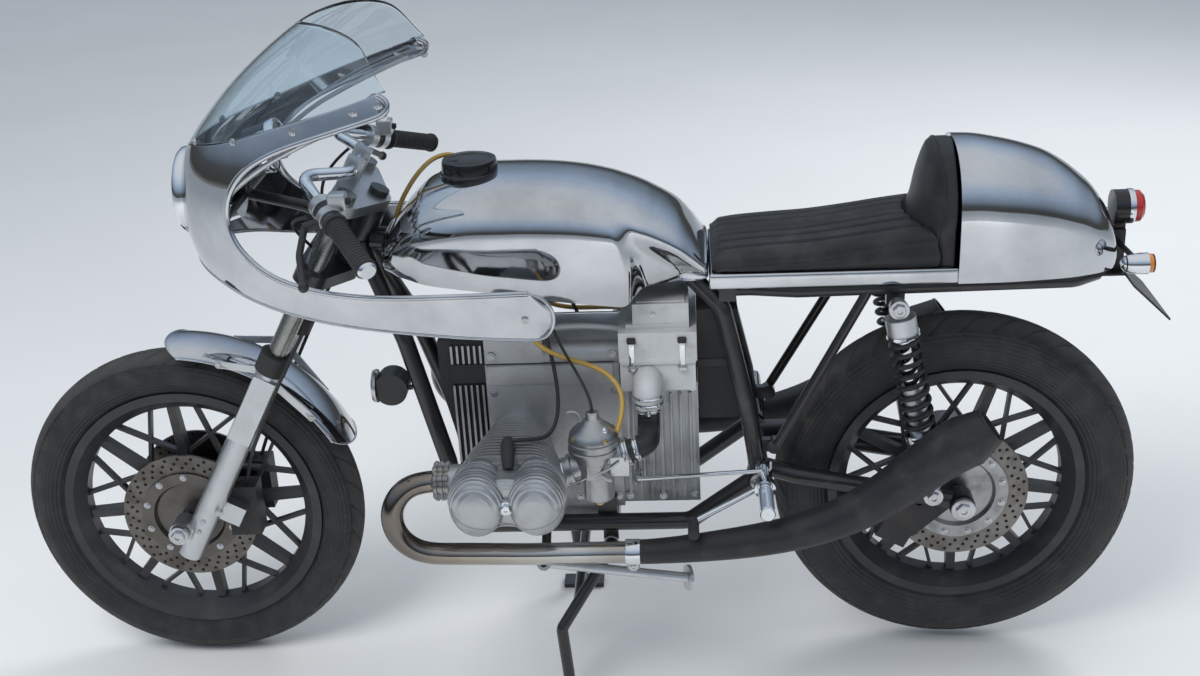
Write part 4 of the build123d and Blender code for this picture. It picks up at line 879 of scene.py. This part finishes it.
cover_line = spread((
    (-94, 508), (-88, 494), (-76, 483), (-52, 473), (-24, 468), (0, 466), (24, 466), (52, 470), (80, 480),
    (93, 492), (99, 503),
), 3)
for side, x, name in cylinder_places:
    lobes = []
    for shift, half_wide, half_high, end in (
        (-lobe_apart, lobe_wide, lobe_high, lobe_end), (lobe_apart, lobe_wide, lobe_high, lobe_end),
        (0, 56, 44, bridge_end),
    ):
        rings = []
        for k in range(lobe_steps + 1):
            reach = lobe_foot + (end - lobe_foot) * (1 - (1 - k / lobe_steps) ** 1.3)
            share = lobe_share(max(290.0, reach)) if shift else 1 - 0.25 * smooth_step((reach - 335) / 11)
            ribbed = smooth_step(0.5 + 1.3 * cos(2 * pi * (reach - 290) / rib_pitch))
            ribbed *= smooth_step((371.5 - reach) / 4)
            ring = []
            for a in turns(lobe_round):
                z = half_high * share * sin(a)
                rib = ribbed * smooth_step((z + 2) / 12)
                ring.append(Vector((
                    x + shift + (half_wide * share + 2.0 * rib) * cos(a), side * (reach + 0.8 * rib),
                    cylinder_z + z + 3.2 * rib * sin(a),
                )) * mm)
            rings.append(ring)
        points, faces = skin(rings)
        faces.append(tuple(range(len(points) - 1, len(points) - 1 - lobe_round, -1)))
        lobes.append((points, [face[::-1] for face in faces] if side < 0 else faces))
    cover = piece(f"rocker_cover_{name}", *merged(lobes), cover_alloy, sharp=50)
    if side < 0:
        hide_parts("valve_covers")
    rail = []
    for dx, z in cover_line:
        near = lobe_apart if dx > 0 else -lobe_apart
        share = min(1.02, sqrt(((dx - near) / lobe_wide) ** 2 + ((z - cylinder_z) / lobe_high) ** 2))
        reach = lobe_reach(share) if share < 0.995 else 322.0
        rail.append(Vector((x + dx, side * (max(reach, 348.0 if abs(dx) < 12 else 0) + 0.2), z)) * mm)
    bar(f"cover_line_{name}", rail, 1.9, cover_alloy, sides=8)
    boss_profile = [(330, 16), (352, 15), (353.5, 13), (353.5, 0.5)]
    lathe(f"cover_boss_{name}", boss_profile, (x, 0, 502), (0, side, 0), cover_alloy, steps=32)
    bolts(f"cover_nut_{name}", [((x, side * 353.6, 502), (0, side, 0), 9, 9)], chrome)
    bolts(f"head_nuts_{name}", [
        ((x + dx, side * 290, cylinder_z + dz), (0, side, 0), 6, 4) for dz in (52, -52) for dx in (-66, 66)
    ], plated)
    cap_path = ((-2, 232, 566), (-2, 250, 578), (0, 274, 576), (2, 296, 566), (3, 306, 552))
    cap_radii = (0.62, 0.95, 1.0, 0.92, 0.72)
    bar(f"plug_cap_{name}", mirrored(side, cap_path, x), 12.5, soft_rubber, radii=cap_radii)
    bar(f"plug_lead_{name}", mirrored(side, (
        (0, 262, 583), (22, 254, 581), (46, 238, 571), (70, 214, 566), (84, 176, 590), (78, 128, 640),
        (62, 96, 700), (50, 70, 742), (40, 40, 770),
    ), x), 3.6, soft_rubber)

# Exhaust: front pipes of polished steel, straw and blue near the ports, each held by
# a finned nut. Matt black tapered silencers are clamped on.
star_alloy = brushed_metal("star_alloy", (0.40, 0.39, 0.37), 0.34, (0.16, 0.14, 0.12))
pipe_steel = Finish("pipe_steel", "pipe_steel")
pipe_cloud = pipe_steel.noise(16, 5, 0.6)
pipe_heat = pipe_steel.along(0) + pipe_cloud * 0.10
pipe_tone = pipe_steel.node("ShaderNodeValToRGB", {"stops": (
    (0.0, (0.12, 0.11, 0.105)), (0.22, (0.22, 0.19, 0.165)), (0.42, (0.38, 0.33, 0.28)),
    (0.62, (0.52, 0.48, 0.43)), (0.85, (0.60, 0.58, 0.55)), (1.0, (0.44, 0.40, 0.36)),
)}, pipe_heat * 2.2 + 0.70)
pipe_steel.surface(
    Base_Color=pipe_tone, Metallic=1.0, Roughness=0.13 + pipe_cloud.between(0.45, 0.8) * 0.16,
    Normal=pipe_steel.bump(pipe_steel.noise(300, 2), 0.00006),
)
silencer_black = coated(
    "silencer_black", ((0.011, 0.011, 0.012), (0.050, 0.046, 0.042)), (15, 6, 0.66), (0.45, 0.8, 0.6),
    (0.33, 0.24), (900, 2, 0.00018), "heat_paint",
)
dress(silencer_black, "silencers")
pipe_y, pipe_radius, port_y, port_z = 250, 19.5, 258, 505
nut_radius, nut_teeth, tooth_height = 29, 10, 6
pipe_sweep = (
    (-291, 294, 478), (-295, 299, 450), (-287, 300, 421), (-268, 299, 397), (-240, 296, 382), (-205, 290, 376),
    (-120, 276, 366), (-61, 265, 357), (29, 250.5, 349.5), (70, pipe_y, 349), (119, pipe_y, 349),
)
nut_profile = (
    (-107, 0.55), (-107, 1), (-112, 1), (-113, 0.93), (-116, 0.93), (-117, 1), (-122, 1), (-123, 0.93),
    (-126, 0.93), (-127, 1), (-132, 1), (-135, 0.9), (-135, 0.55),
)
clamp_profile = [(-13, 19.1), (-13, 22.6), (-11, 23.4), (11, 23.4), (13, 22.6), (13, 19.1)]
lip_profile = [(-4, 33), (0, 35), (3, 33.5), (3, 29.5), (-6, 29.1)]
tip_rise = Vector((cos(radians(36)), 0, sin(radians(36))))
for side, x, name in cylinder_places:
    port = ((x - 112, port_y, port_z), (x - 136, 259, 505.5), ((x - 412) / 2 - 4, 272, 509), (-275, 285, 500))
    header = bar(f"header_{name}", mirrored(side, port + pipe_sweep), pipe_radius, pipe_steel, sides=48)
    if side < 0:
        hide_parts("exhaust_headers")
    rings = []
    for along, grow in nut_profile:
        ring = []
        for a in turns(120):
            radius = (nut_radius + tooth_height * smooth_step((cos(nut_teeth * a) + 0.25) / 0.5)) * grow
            ring.append(Vector((x + along, side * port_y + radius * cos(a), port_z + radius * sin(a))) * mm)
        rings.append(ring)
    piece(f"exhaust_nut_{name}", *skin(rings), star_alloy, "pipe_steel", sharp=30)
    clamp_place = (121, side * pipe_y, 349)
    lathe(f"pipe_clamp_{name}", clamp_profile, clamp_place, (1, 0, 0), chrome, "pipe_steel")
    ears = (110, side * 246, 315), (132, side * 254, 329)
    rounded_box(f"clamp_ears_{name}", *ears, 1.5, star_alloy, "pipe_steel")
    bolts(f"clamp_bolt_{name}", [((121, side * 254, 321), (0, side, 0), 6, 5)], plated, "pipe_steel")
    tip = Vector((700, side * pipe_y, 558)) + tip_rise * 44
    lathe(f"silencer_lip_{name}", lip_profile, tip, tip_rise, silencer_black, steps=64)

# Carburettors: a bright domed body on a slanting barrel, with a round float bowl and a
# cable lever. A rubber elbow with two clamps joins each to the air box.
carb_alloy = brushed_metal("carb_alloy", (0.50, 0.50, 0.50), 0.28, (0.24, 0.22, 0.19))
brass = brushed_metal("screw_brass", (0.62, 0.46, 0.20), 0.3, (0.32, 0.24, 0.12))
upright = Vector((0, 0, 1))
barrel_way = Vector((0.945, 0, 0.327)).normalized()
carb_y = 229
dome_profile = (
    (500, 0.5), (500, 33), (540, 35), (545, 36), (546, 45), (552, 45.6), (553.5, 44), (554, 42), (557, 42),
    (558, 44), (566, 44.4), (567.5, 43), (568, 41), (571, 41), (572, 42.6), (578, 41.5), (584, 37), (592, 28),
    (599, 20), (604, 15), (606, 12), (617, 11.4), (619, 9), (619, 0.5),
)
bowl_profile = (
    (444, 0.5), (444, 8), (447, 9), (449, 21), (453, 26), (458, 27), (496, 27), (500, 29), (505, 29), (507, 22),
)
barrel_profile = (
    (-8, 22), (-8, 25), (34, 25), (35, 29), (41, 29), (42, 24.5), (128, 24.5), (129, 27), (134, 27), (135, 24),
    (146, 24), (146, 12),
)
band_profile = ((-1, -1.5), (-1, 1.0), (-0.6, 1.4), (-0.3, 0.9), (0.3, 0.9), (0.6, 1.4), (1, 1.0), (1, -1.5))
for side, x, name in cylinder_places:
    start = Vector((x + 70, side * carb_y, 494))
    post = x + 145
    carb = piece(f"carb_{name}", *merged(turned(profile, centre, way, 64) for profile, centre, way in (
        (dome_profile, (post, side * carb_y, 0), upright), (bowl_profile, (post + 6, side * carb_y, 0), upright),
        (barrel_profile, start, barrel_way),
    )), carb_alloy, sharp=28)
    if side < 0:
        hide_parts("carburettors")
    bands = [
        (start + barrel_way * along, barrel_way, radius, width)
        for along, radius, width in ((5, 25.2, 7), (23, 25.2, 7), (141, 24.6, 8), (160, 21.2, 8))
    ] + [
        (Vector((155 if side < 0 else 185, side * 146, z)), upright, radius, width)
        for z, radius, width in ((583, 21.2, 8), (597, 26.8, 6), (610, 26.8, 4))
    ]
    piece(f"hose_clamps_{name}", *merged(
        turned([(width / 2 * a, radius + b) for a, b in band_profile], at, way) for at, way, radius, width in bands
    ), chrome, sharp=28)
    bolts(f"clamp_screws_{name}", [
        (at + Vector((0, side * (radius + 3), 0)), upright, 3.4, 7) for at, _, radius, _ in bands[:5]
    ], plated, "chrome", sides=12)
    bracket = (post + 28, side * 252, 505), (post + 62, side * 256, 543)
    rounded_box(f"throttle_bracket_{name}", *bracket, 2, plated)
    lever = ((-2, 236, 520), (2, 262, 518), (14, 264, 508), (30, 262, 500))
    bar(f"throttle_lever_{name}", mirrored(side, lever, post), 3.4, plated)
    bolts(f"carb_screws_{name}", [
        ((post + 39 * cos(a), side * carb_y + 39 * sin(a), 577), upright, 3.6, 4) for a in (0.6, 2.2, 3.7, 5.3)
    ] + [((post + 6, side * carb_y, 444), -upright, 8, 7)], brass, sides=12)
    lever = ((-22, 212, 592), (-24, 206, 606), (-34, 204, 610), (-46, 206, 606))
    bar(f"choke_lever_{name}", mirrored(side, lever, post), 2.6, plated)
    bolts(f"carb_top_screws_{name}", [
        ((post - 22, side * 214, 588), upright, 4.6, 7), ((post + 20, side * 246, 589), upright, 4.6, 7),
    ], chrome, "cast_alloy", sides=12)
    rod = ((44, 258, 536), (28, 262, 522), (6, 262, 516), (-22, 258, 500), (-38, 252, 492))
    bar(f"link_rod_{name}", mirrored(side, rod, post), 2.4, plated)
    rounded_box(f"jet_cover_{name}", (post - 14, side * 252, 500), (post + 14, side * 262, 530), 3, carb_alloy)
    cable = ((0, carb_y, 619), (1, carb_y, 634), (-14, 205, 664), (-46, 150, 690), (-72, 96, 716), (-92, 60, 768))
    bar(f"throttle_cable_{name}", mirrored(side, cable, post), 2.6, soft_rubber)

# Air box: two pale grey painted halves held by spring clips.
airbox_grey = coated(
    "airbox_grey", ((0.50, 0.51, 0.51), (0.28, 0.27, 0.25)), (18, 6, 0.62), (0.45, 0.8, 0.6), (0.34, 0.2),
    (400, 3, 0.00015), "grey_plastic", Metallic=0.25,
)
hose_black = satin_paint(
    "hose_black", (0.016, 0.016, 0.017), 0.40, (0.05, 0.048, 0.045), 0.4, "rubber_black"
)
dress(airbox_grey, "airbox")
dress(hose_black, "intake_hoses")
for side, name in both_sides:
    for k, x in enumerate((128, 218)):
        for part, reach, near, far, low, high, radius, finish, slot in (
            ("airbox_clip", 5, 113.5, 116.5, 646, 700, 1.2, chrome, "chrome"),
            ("clip_hook", 8, 113, 120, 694, 706, 2.5, soft_rubber, "grey_plastic"),
            ("clip_foot", 7, 113, 120, 640, 650, 2, plated, "grey_plastic"),
        ):
            corners = (x - reach, side * near, low), (x + reach, side * far, high)
            rounded_box(f"{part}_{name}_{k}", *corners, radius, finish, slot, segments=2)
    lip = (107, side * 112, 652), (242, side * 114.8, 664)
    rounded_box(f"airbox_lip_{name}", *lip, 1.2, airbox_grey, segments=2)
rounded_box("airbox_pad", (137, -86, 759), (225, 86, 763), 2.5, airbox_grey)
bolts("airbox_screw", [
    ((169, side * 92, 740), (0, side, 0), 4.5, 3.5) for side in (-1, 1)
], plated, "grey_plastic")

# Fuel hoses: amber tube from the tap under each side of the tank to its carburettor.
amber = Finish("amber_tube", "rubber_black")
amber_age = amber.noise(40, 4)
amber.surface(
    Base_Color=amber.mix(amber_age, (0.46, 0.29, 0.06), (0.30, 0.19, 0.05)), Roughness=0.22 + amber_age * 0.15,
    Coat_Weight=0.3,
)
tap_profile = [(-32, 9), (-20, 9), (-18, 13), (12, 13), (16, 17), (34, 17)]
for side, shift, name in ((-1, 0, "left"), (1, 30, "right")):
    bar(f"fuel_hose_{name}", mirrored(side, (
        (-62, 92, 770), (-60, 92, 735), (-50, 98, 698), (-22, 108, 680), (22, 122, 668),
        (62 + shift / 2, 138, 664), (96 + shift, 158, 650), (112 + shift, 182, 628), (112 + shift, 204, 604),
        (104 + shift, 222, 580), (94 + shift, 226, 560),
    )), 4.6, amber)
    lathe(f"fuel_tap_{name}", tap_profile, (-62, side * 92, 772), upright, carb_alloy, steps=24)
bar("breather_hose", mirrored(1, (
    (-292, 4, 902), (-284, 4, 925), (-270, 4, 950), (-252, 4, 976), (-230, 8, 1000), (-206, 22, 1013),
    (-182, 34, 1010), (-172, 40, 1000),
)), 4.2, amber)

# Shock absorbers: plated bodies inside black coil springs.
dress(fork_alloy, "shock_bodies")
spring_black = satin_paint(
    "spring_black", (0.012, 0.012, 0.013), 0.22, (0.06, 0.056, 0.05), 0.4, "black_paint"
)
coils, coil_steps, coil_radius, coil_rise, wire_radius = 9.5, 440, 24.4, 0.12, 4.4
spring_top, spring_length = 55, 190
cup_profiles = (
    ((48, 12), (48, 29), (53, 30), (55, 29), (55, 12)), ((244, 20.5), (244, 29), (247, 30), (256, 29), (257, 21)),
    ((55, 10), (150, 10)), ((110, 13), (112, 15), (148, 15), (150, 13)),
)
for side, name in both_sides:
    top, way = Vector((591, side * 146, 764)), Vector((71, 0, -366)).normalized()
    across = Vector((0, 1, 0))
    other = way.cross(across)
    rings = []
    for k in range(coil_steps + 1):
        share = k / coil_steps
        a = 2 * pi * coils * share
        along = spring_top + spring_length * (share - 0.030 * sin(2 * pi * share) / pi)
        out = across * cos(a) + other * sin(a)
        turn_way = (other * cos(a) - across * sin(a) + way * coil_rise).normalized()
        up_way = turn_way.cross(out)
        centre = top + way * along + out * coil_radius
        rings.append([(centre + (out * cos(b) + up_way * sin(b)) * wire_radius) * mm for b in turns(10)])
    spring = piece(f"shock_spring_{name}", *skin(rings, capped=True), spring_black, sharp=60)
    if side < 0:
        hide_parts("shock_springs")
    cups = merged(turned(profile, top, way) for profile in cup_profiles)
    piece(f"shock_cups_{name}", *cups, chrome, "cast_alloy", sharp=30)
    bolts(f"shock_nuts_{name}", [
        ((x, side * 160, z), (0, side, 0), 12, 9) for x, z in ((591, 764), (662, 398))
    ], plated)

# Hand controls: ribbed rubber grips, black levers in bright clamps, a brake fluid cup
# on the right and switch boxes; the bars are chromed.
lever_black = satin_paint("lever_black", (0.014, 0.014, 0.015), 0.30, (0.05, 0.05, 0.05), 0.4)
dress(chrome, "handlebar")
dress(lever_black, "hand_levers")
grip_profile = [(-8, 6), (-8, 15), (-4, 18.5), (0, 18.5), (1.5, 16)]
for k in range(17):
    rib = 4 + 6.6 * k
    grip_profile += [(rib, 15.6), (rib + 1, 16.9), (rib + 4.6, 16.9), (rib + 5.6, 15.6)]
grip_profile += [(117, 16.5), (118, 21), (123, 22), (125, 20), (125, 11.2)]
plug_profile = [(-13, 0.5), (-13, 13), (-10, 15.5), (-7.5, 16), (-7.5, 4)]
for side, name in both_sides:
    end, way = Vector((-278, side * 350, 941)), Vector((-0.519408, side * -0.790086, 0.325545))
    grip = lathe(f"grip_{name}", grip_profile, end, way, soft_rubber, body="steering", sharp=25)
    if side < 0:
        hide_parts("grips")
    lathe(f"bar_plug_{name}", plug_profile, end, way, chrome, body="steering", steps=40)
    clamps = merged(
        turned([(a, 11.2), (a, 20.5), (a + 1, 21.5), (b - 1, 21.5), (b, 20.5), (b, 11.2)], end, way, 40)
        for a, b in ((136, 152), (166, 184))
    )
    piece(f"lever_clamp_{name}", *clamps, fork_alloy, body="steering", sharp=30)
    middle = end + way * 159
    box = middle + Vector((6, -13, 4)), middle + Vector((36, 13, 34))
    rounded_box(f"switch_box_{name}", *box, 4, fork_alloy, body="steering")
    knob = middle + Vector((30, -6, 14)), middle + Vector((43, 6, 24))
    rounded_box(f"switch_knob_{name}", *knob, 2.5, soft_rubber, "cast_alloy", "steering")
    cable = [(middle + Vector(step)) * mm for step in ((-34, side * -6, -8), (-58, side * -30, -20))]
    cable += mirrored(side, ((-452, 130, 948), (-446, 84, 900), (-420, 60, 860), (-404, 52, 824)))
    bar(f"control_cable_{name}", cable, 3, soft_rubber, body="steering")
lathe("brake_fluid_cup", [
    (0, 10), (2, 21), (30, 22), (32, 24), (40, 24), (43, 21), (43, 0.5),
], (-402, 206, 1006), upright, lever_black, body="steering", steps=40, sharp=30)

# Headlamp rim, and two small round clocks on the bracket behind it.
dress(chrome, "headlamp")
dress(frame_black, "fairing_bracket")
lathe("headlamp_rim", [
    (-2, 69), (-6, 72), (-6, 78), (2, 81), (10, 80), (14, 76.5),
], (-653, 0, 968), (-1, 0, 0), chrome, steps=96, sharp=40, flip=True)
clock_face = Finish("clock_face", "black_plastic")
clock_side = clock_face.along(1).math("ABSOLUTE") - 0.042
clock_radius, clock_turn = polar(clock_side, clock_face.along(2) - 1.050)
clock_mark = ((clock_turn * (10 / pi)).math("FRACT") - 0.5).math("ABSOLUTE")
clock_tick = (1 - clock_mark.between(0.05, 0.09)) * clock_radius.between(0.024, 0.0245)
clock_face.surface(
    Base_Color=clock_face.mix(clock_tick, (0.01, 0.01, 0.01), (0.75, 0.75, 0.72)), Roughness=0.25,
    Coat_Weight=0.8,
)
for side, name in both_sides:
    for part, profile, steps, finish in (
        ("clock_rim", [(-12, 37), (1, 38.5), (4, 37), (4, 32.5), (1, 32)], 48, chrome),
        ("clock_dial", [(0.5, 33), (1.2, 0.5)], 48, clock_face),
        ("clock_hub", [(0.5, 5), (3, 4), (3.5, 0.5)], 16, chrome),
    ):
        lathe(f"{part}_{name}", profile, (-495, side * 42, 1048), (55, 0, 17), finish, steps=steps)

# Screws along the screen and fairing, and a stay rod from each upper arm of the fairing.
screws = []
for side in (-1, 1):
    for w, z in ((0.22, 1079), (0.47, 1098), (0.70, 1124), (0.90, 1156), (0.985, 1166), (1.0, 1150)):
        at, outside = shell_point(side * w, z), shell_point(side * w, z, 10)
        screws.append((at / mm, outside - at, 5, 3.2))
    screws.append(((-42, side * curve_through(shell_rows, 800)[1], 800), (0, side, 0), 5, 3.2))
bolts("fairing_screws", screws, plated, "polished_alloy", sides=16)
stay_path = ((-276, 200, 1150), (-334, 199, 1126), (-420, 194, 1092), (-498, 184, 1046), (-548, 166, 1000))
for side, name in both_sides:
    bar(f"fairing_stay_{name}", mirrored(side, stay_path), 4.5, fork_alloy)

# Front mudguard: a polished crowned strip with rounded ends and wired edges, held to
# the sliders by flat bolted stays.
guard_low, guard_high, guard_half, round_reach = radians(22.2), radians(90.8), 61.0, 0.115
guard_edge, guard_crown = 335.5, 18.3


def guard_point(share, across, lift=0.0):
    """A point of the mudguard, from its rear end to its front and over its width."""
    pull = round_reach * (1 - sqrt(max(0.0, 1 - 0.96 * across * across)))
    angle = guard_low + pull + (guard_high - guard_low - 2 * pull) * share
    radius = guard_edge + guard_crown * sqrt(max(0.0, 1 - across * across)) + lift
    return (front_axle + Vector((radius * cos(angle), guard_half * across, radius * sin(angle)))) * mm


guard_across = [sin(pi / 2 * (k / 16 - 1)) for k in range(33)]
rings = [
    [guard_point(k / 60, a) for a in guard_across] + [guard_point(k / 60, a, -2.0) for a in reversed(guard_across)]
    for k in range(61)
]
guard_skin = piece("guard_skin", *skin(rings, capped=True), mirror_alloy, body="steering", sharp=50)
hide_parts("front_mudguard")
hem = [guard_point(k / 24, 1) for k in range(25)] + [guard_point(1, 1 - k / 6) for k in range(1, 12)]
hem += [guard_point(1 - k / 24, -1) for k in range(25)] + [guard_point(0, -1 + k / 6) for k in range(1, 12)]
bar("guard_wire", hem, 2, mirror_alloy, body="steering", closed=True, sides=8)
for side, name in both_sides:
    for k, ends in enumerate((((-542, 74, 621), (-478, 59, 536)), ((-532, 74, 638), (-638, 59, 649)))):
        foot, edge = (Vector((x, side * y, z)) for x, y, z in ends)
        along_stay = (edge - foot).normalized()
        wide_way = Vector((-along_stay.z, 0, along_stay.x)).normalized() * 7
        thick_way = Vector((0, 1.4, 0))
        start, end = foot - along_stay * 7, edge + along_stay * 4
        points = [
            (at + wide_way * a + thick_way * b) * mm for at in (start, end) for a in (-1, 1) for b in (-1, 1)
        ]
        faces = [(0, 1, 3, 2), (4, 6, 7, 5), (0, 4, 5, 1), (2, 3, 7, 6), (0, 2, 6, 4), (1, 5, 7, 3)]
        piece(f"guard_stay_{name}_{k}", points, faces, fork_alloy, "polished_alloy", "steering", 20)
        bolts(f"stay_bolts_{name}_{k}", [
            (at + Vector((0, side * 1.5, 0)), (0, side, 0), 5, 3.4) for at in (edge, foot)
        ], plated, "polished_alloy", "steering")

# Fork ends and brake hoses: plated axle nuts, slider bolts, a black hose to each caliper.
fork_bolts, up_way = [], Vector((0.4772, 0, 0.8788))
hose = (
    (-622, 60, 398), (-612, 64, 424), (-596, 96, 470), (-560, 132, 540), (-520, 136, 620), (-476, 134, 700),
    (-440, 122, 760), (-420, 96, 806), (-412, 60, 842),
)
for side, name in both_sides:
    out = (0, side, 0)
    slider = Vector((-715.26, side * 124, 314.21))
    fork_bolts.append((front_axle + Vector((0, side * 132, 0)), out, 13, 9))
    fork_bolts += [(slider + up_way * along, out, 4.5, 4) for along in (20, 44)]
    fork_bolts.append(((-660, side * 124, 372), out, 5, 4))
    bar(f"brake_hose_{name}", mirrored(side, hose), 3.6, soft_rubber, body="steering")
bolts("fork_bolts", fork_bolts, plated, "fork_alloy", "steering")

# Horn with its plated front, battery strap, final drive, pivot nuts and wiring loom.
dress(lever_black, "horn")
lathe("horn_face", [
    (0, 0.5), (0, 8), (2, 9), (2, 22), (4, 23), (4, 29), (0, 31), (-4, 31),
], (-349, -62, 600), (-1, 0, 0), plated, "black_plastic", sharp=25, flip=True)
dress(soft_rubber, "battery_box")
rounded_box("battery_strap", (242.5, -66, 622), (320, 66, 640), 2, hose_black)
dress(brushed_metal("final_cast", (0.34, 0.34, 0.34), 0.42, (0.12, 0.11, 0.10)), "final_drive")
bolts("drive_bolts", bolt_circle(rear_axle, 160, 60, 8, 5, 4), plated)
bolts("axle_nuts", [
    ((722.5, -130, 353), (0, -1, 0), 15, 9), ((352, -139, 425), (0, -1, 0), 12, 6),
    ((352, 139, 425), (0, 1, 0), 12, 6),
], plated, "chrome")
bar("wiring_loom", mirrored(1, (
    (-300, 30, 800), (-220, 44, 770), (-120, 52, 762), (20, 50, 764), (120, 40, 786), (210, 40, 800),
    (262, 48, 792), (284, 52, 768), (288, 52, 728),
)), 5.5, hose_black)

# Footrests and foot levers: chromed bars with knurled ends and a ribbed rubber tip.
dress(chrome, "footrests", "foot_levers")
peg_profile = [(199, 11), (200, 13.4), (204, 13.4), (205, 12.7)]
for k in range(12):
    rib = 208 + 6 * k
    peg_profile += [(rib, 12.7), (rib + 1, 14.2), (rib + 3.5, 14.2), (rib + 4.5, 12.7)]
peg_profile += [(284, 13.6), (286, 12), (286, 0.5)]
for side, name in both_sides:
    lathe(f"peg_knurl_{name}", peg_profile, (359, 0, 440), (0, side, 0), chrome, steps=32, sharp=25)
tip_profile = [(236, 6)]
for k in range(8):
    rib = 237 + 6 * k
    tip_profile += [(rib, 8.4), (rib + 1.2, 10), (rib + 4, 10), (rib + 5.2, 8.4)]
tip_profile += [(287, 9.5), (289, 7), (289, 0.5)]
lathe("gear_rubber", tip_profile, (230, 0, 402), (0, -1, 0), soft_rubber, steps=24, sharp=25)

# Tail: a black lamp cup with a plated ring, chromed indicators with amber ends, and
# the plain black plate hanger.
dress(gloss_black, "tail_lamp")
dress(satin_paint("hanger_black", (0.012, 0.012, 0.013), 0.34, (0.05, 0.048, 0.045), 0.4), "plate_bracket")
ring_profile = [(0, 28.5), (-1, 30.8), (4, 31.6), (9, 30.8), (10, 28.5)]
lathe("tail_lamp_ring", ring_profile, (1004, 0, 884), (1, 0, 0), chrome, steps=64, sharp=40)
amber_lens = Finish("amber_lens", "red_lens")
amber_cell = amber_lens.node("ShaderNodeTexVoronoi", {}, Vector=amber_lens.place(), Scale=300.0)
amber_lens.surface(
    Base_Color=(0.62, 0.20, 0.015), Roughness=0.12, Coat_Weight=0.5, Normal=amber_lens.bump(amber_cell, 0.0005)
)
shell_profile = [(-24, 0.5), (-23.5, 6), (-19, 12), (-10, 16.5), (6, 18.2), (21, 18.5), (21.5, 16)]
lens_profile = [(21.2, 17), (28, 16.5), (31.5, 12), (33, 0.5)]
for side, name in both_sides:
    for part, profile, finish in (("shell", shell_profile, chrome), ("lens", lens_profile, amber_lens)):
        lathe(f"indicator_{part}_{name}", profile, (991, side * 120, 822), (1, 0, 0), finish, sharp=50)

# Stands: a black tube centre stand on two pivot bolts; the side stand is a bare alloy arm.
dress(frame_black, "centre_stand")
dress(fork_alloy, "side_stand")
bolts("stand_bolts", [((75, side * 118, 288), (0, side, 0), 11, 6) for side in (-1, 1)], plated, "black_paint")

# Lenses: clear headlamp glass with fine flutes, red tail lens.
lamp_glass = Finish("lamp_glass")
lamp_flute = (lamp_glass.along(1) * 900).math("SINE")
lamp_glass.surface(
    Base_Color=(0.93, 0.95, 0.97), Roughness=0.06, IOR=1.5, Transmission_Weight=0.85,
    Normal=lamp_glass.bump(lamp_flute, 0.0004),
)
dress(lamp_glass, "headlamp_lens")
red_lens = Finish("red_lens")
red_cell = red_lens.node("ShaderNodeTexVoronoi", {}, Vector=red_lens.place(), Scale=240.0)
red_lens.surface(
    Base_Color=(0.36, 0.010, 0.010), Roughness=0.10, Coat_Weight=0.6, Normal=red_lens.bump(red_cell, 0.0006)
)
dress(red_lens, "tail_lens")
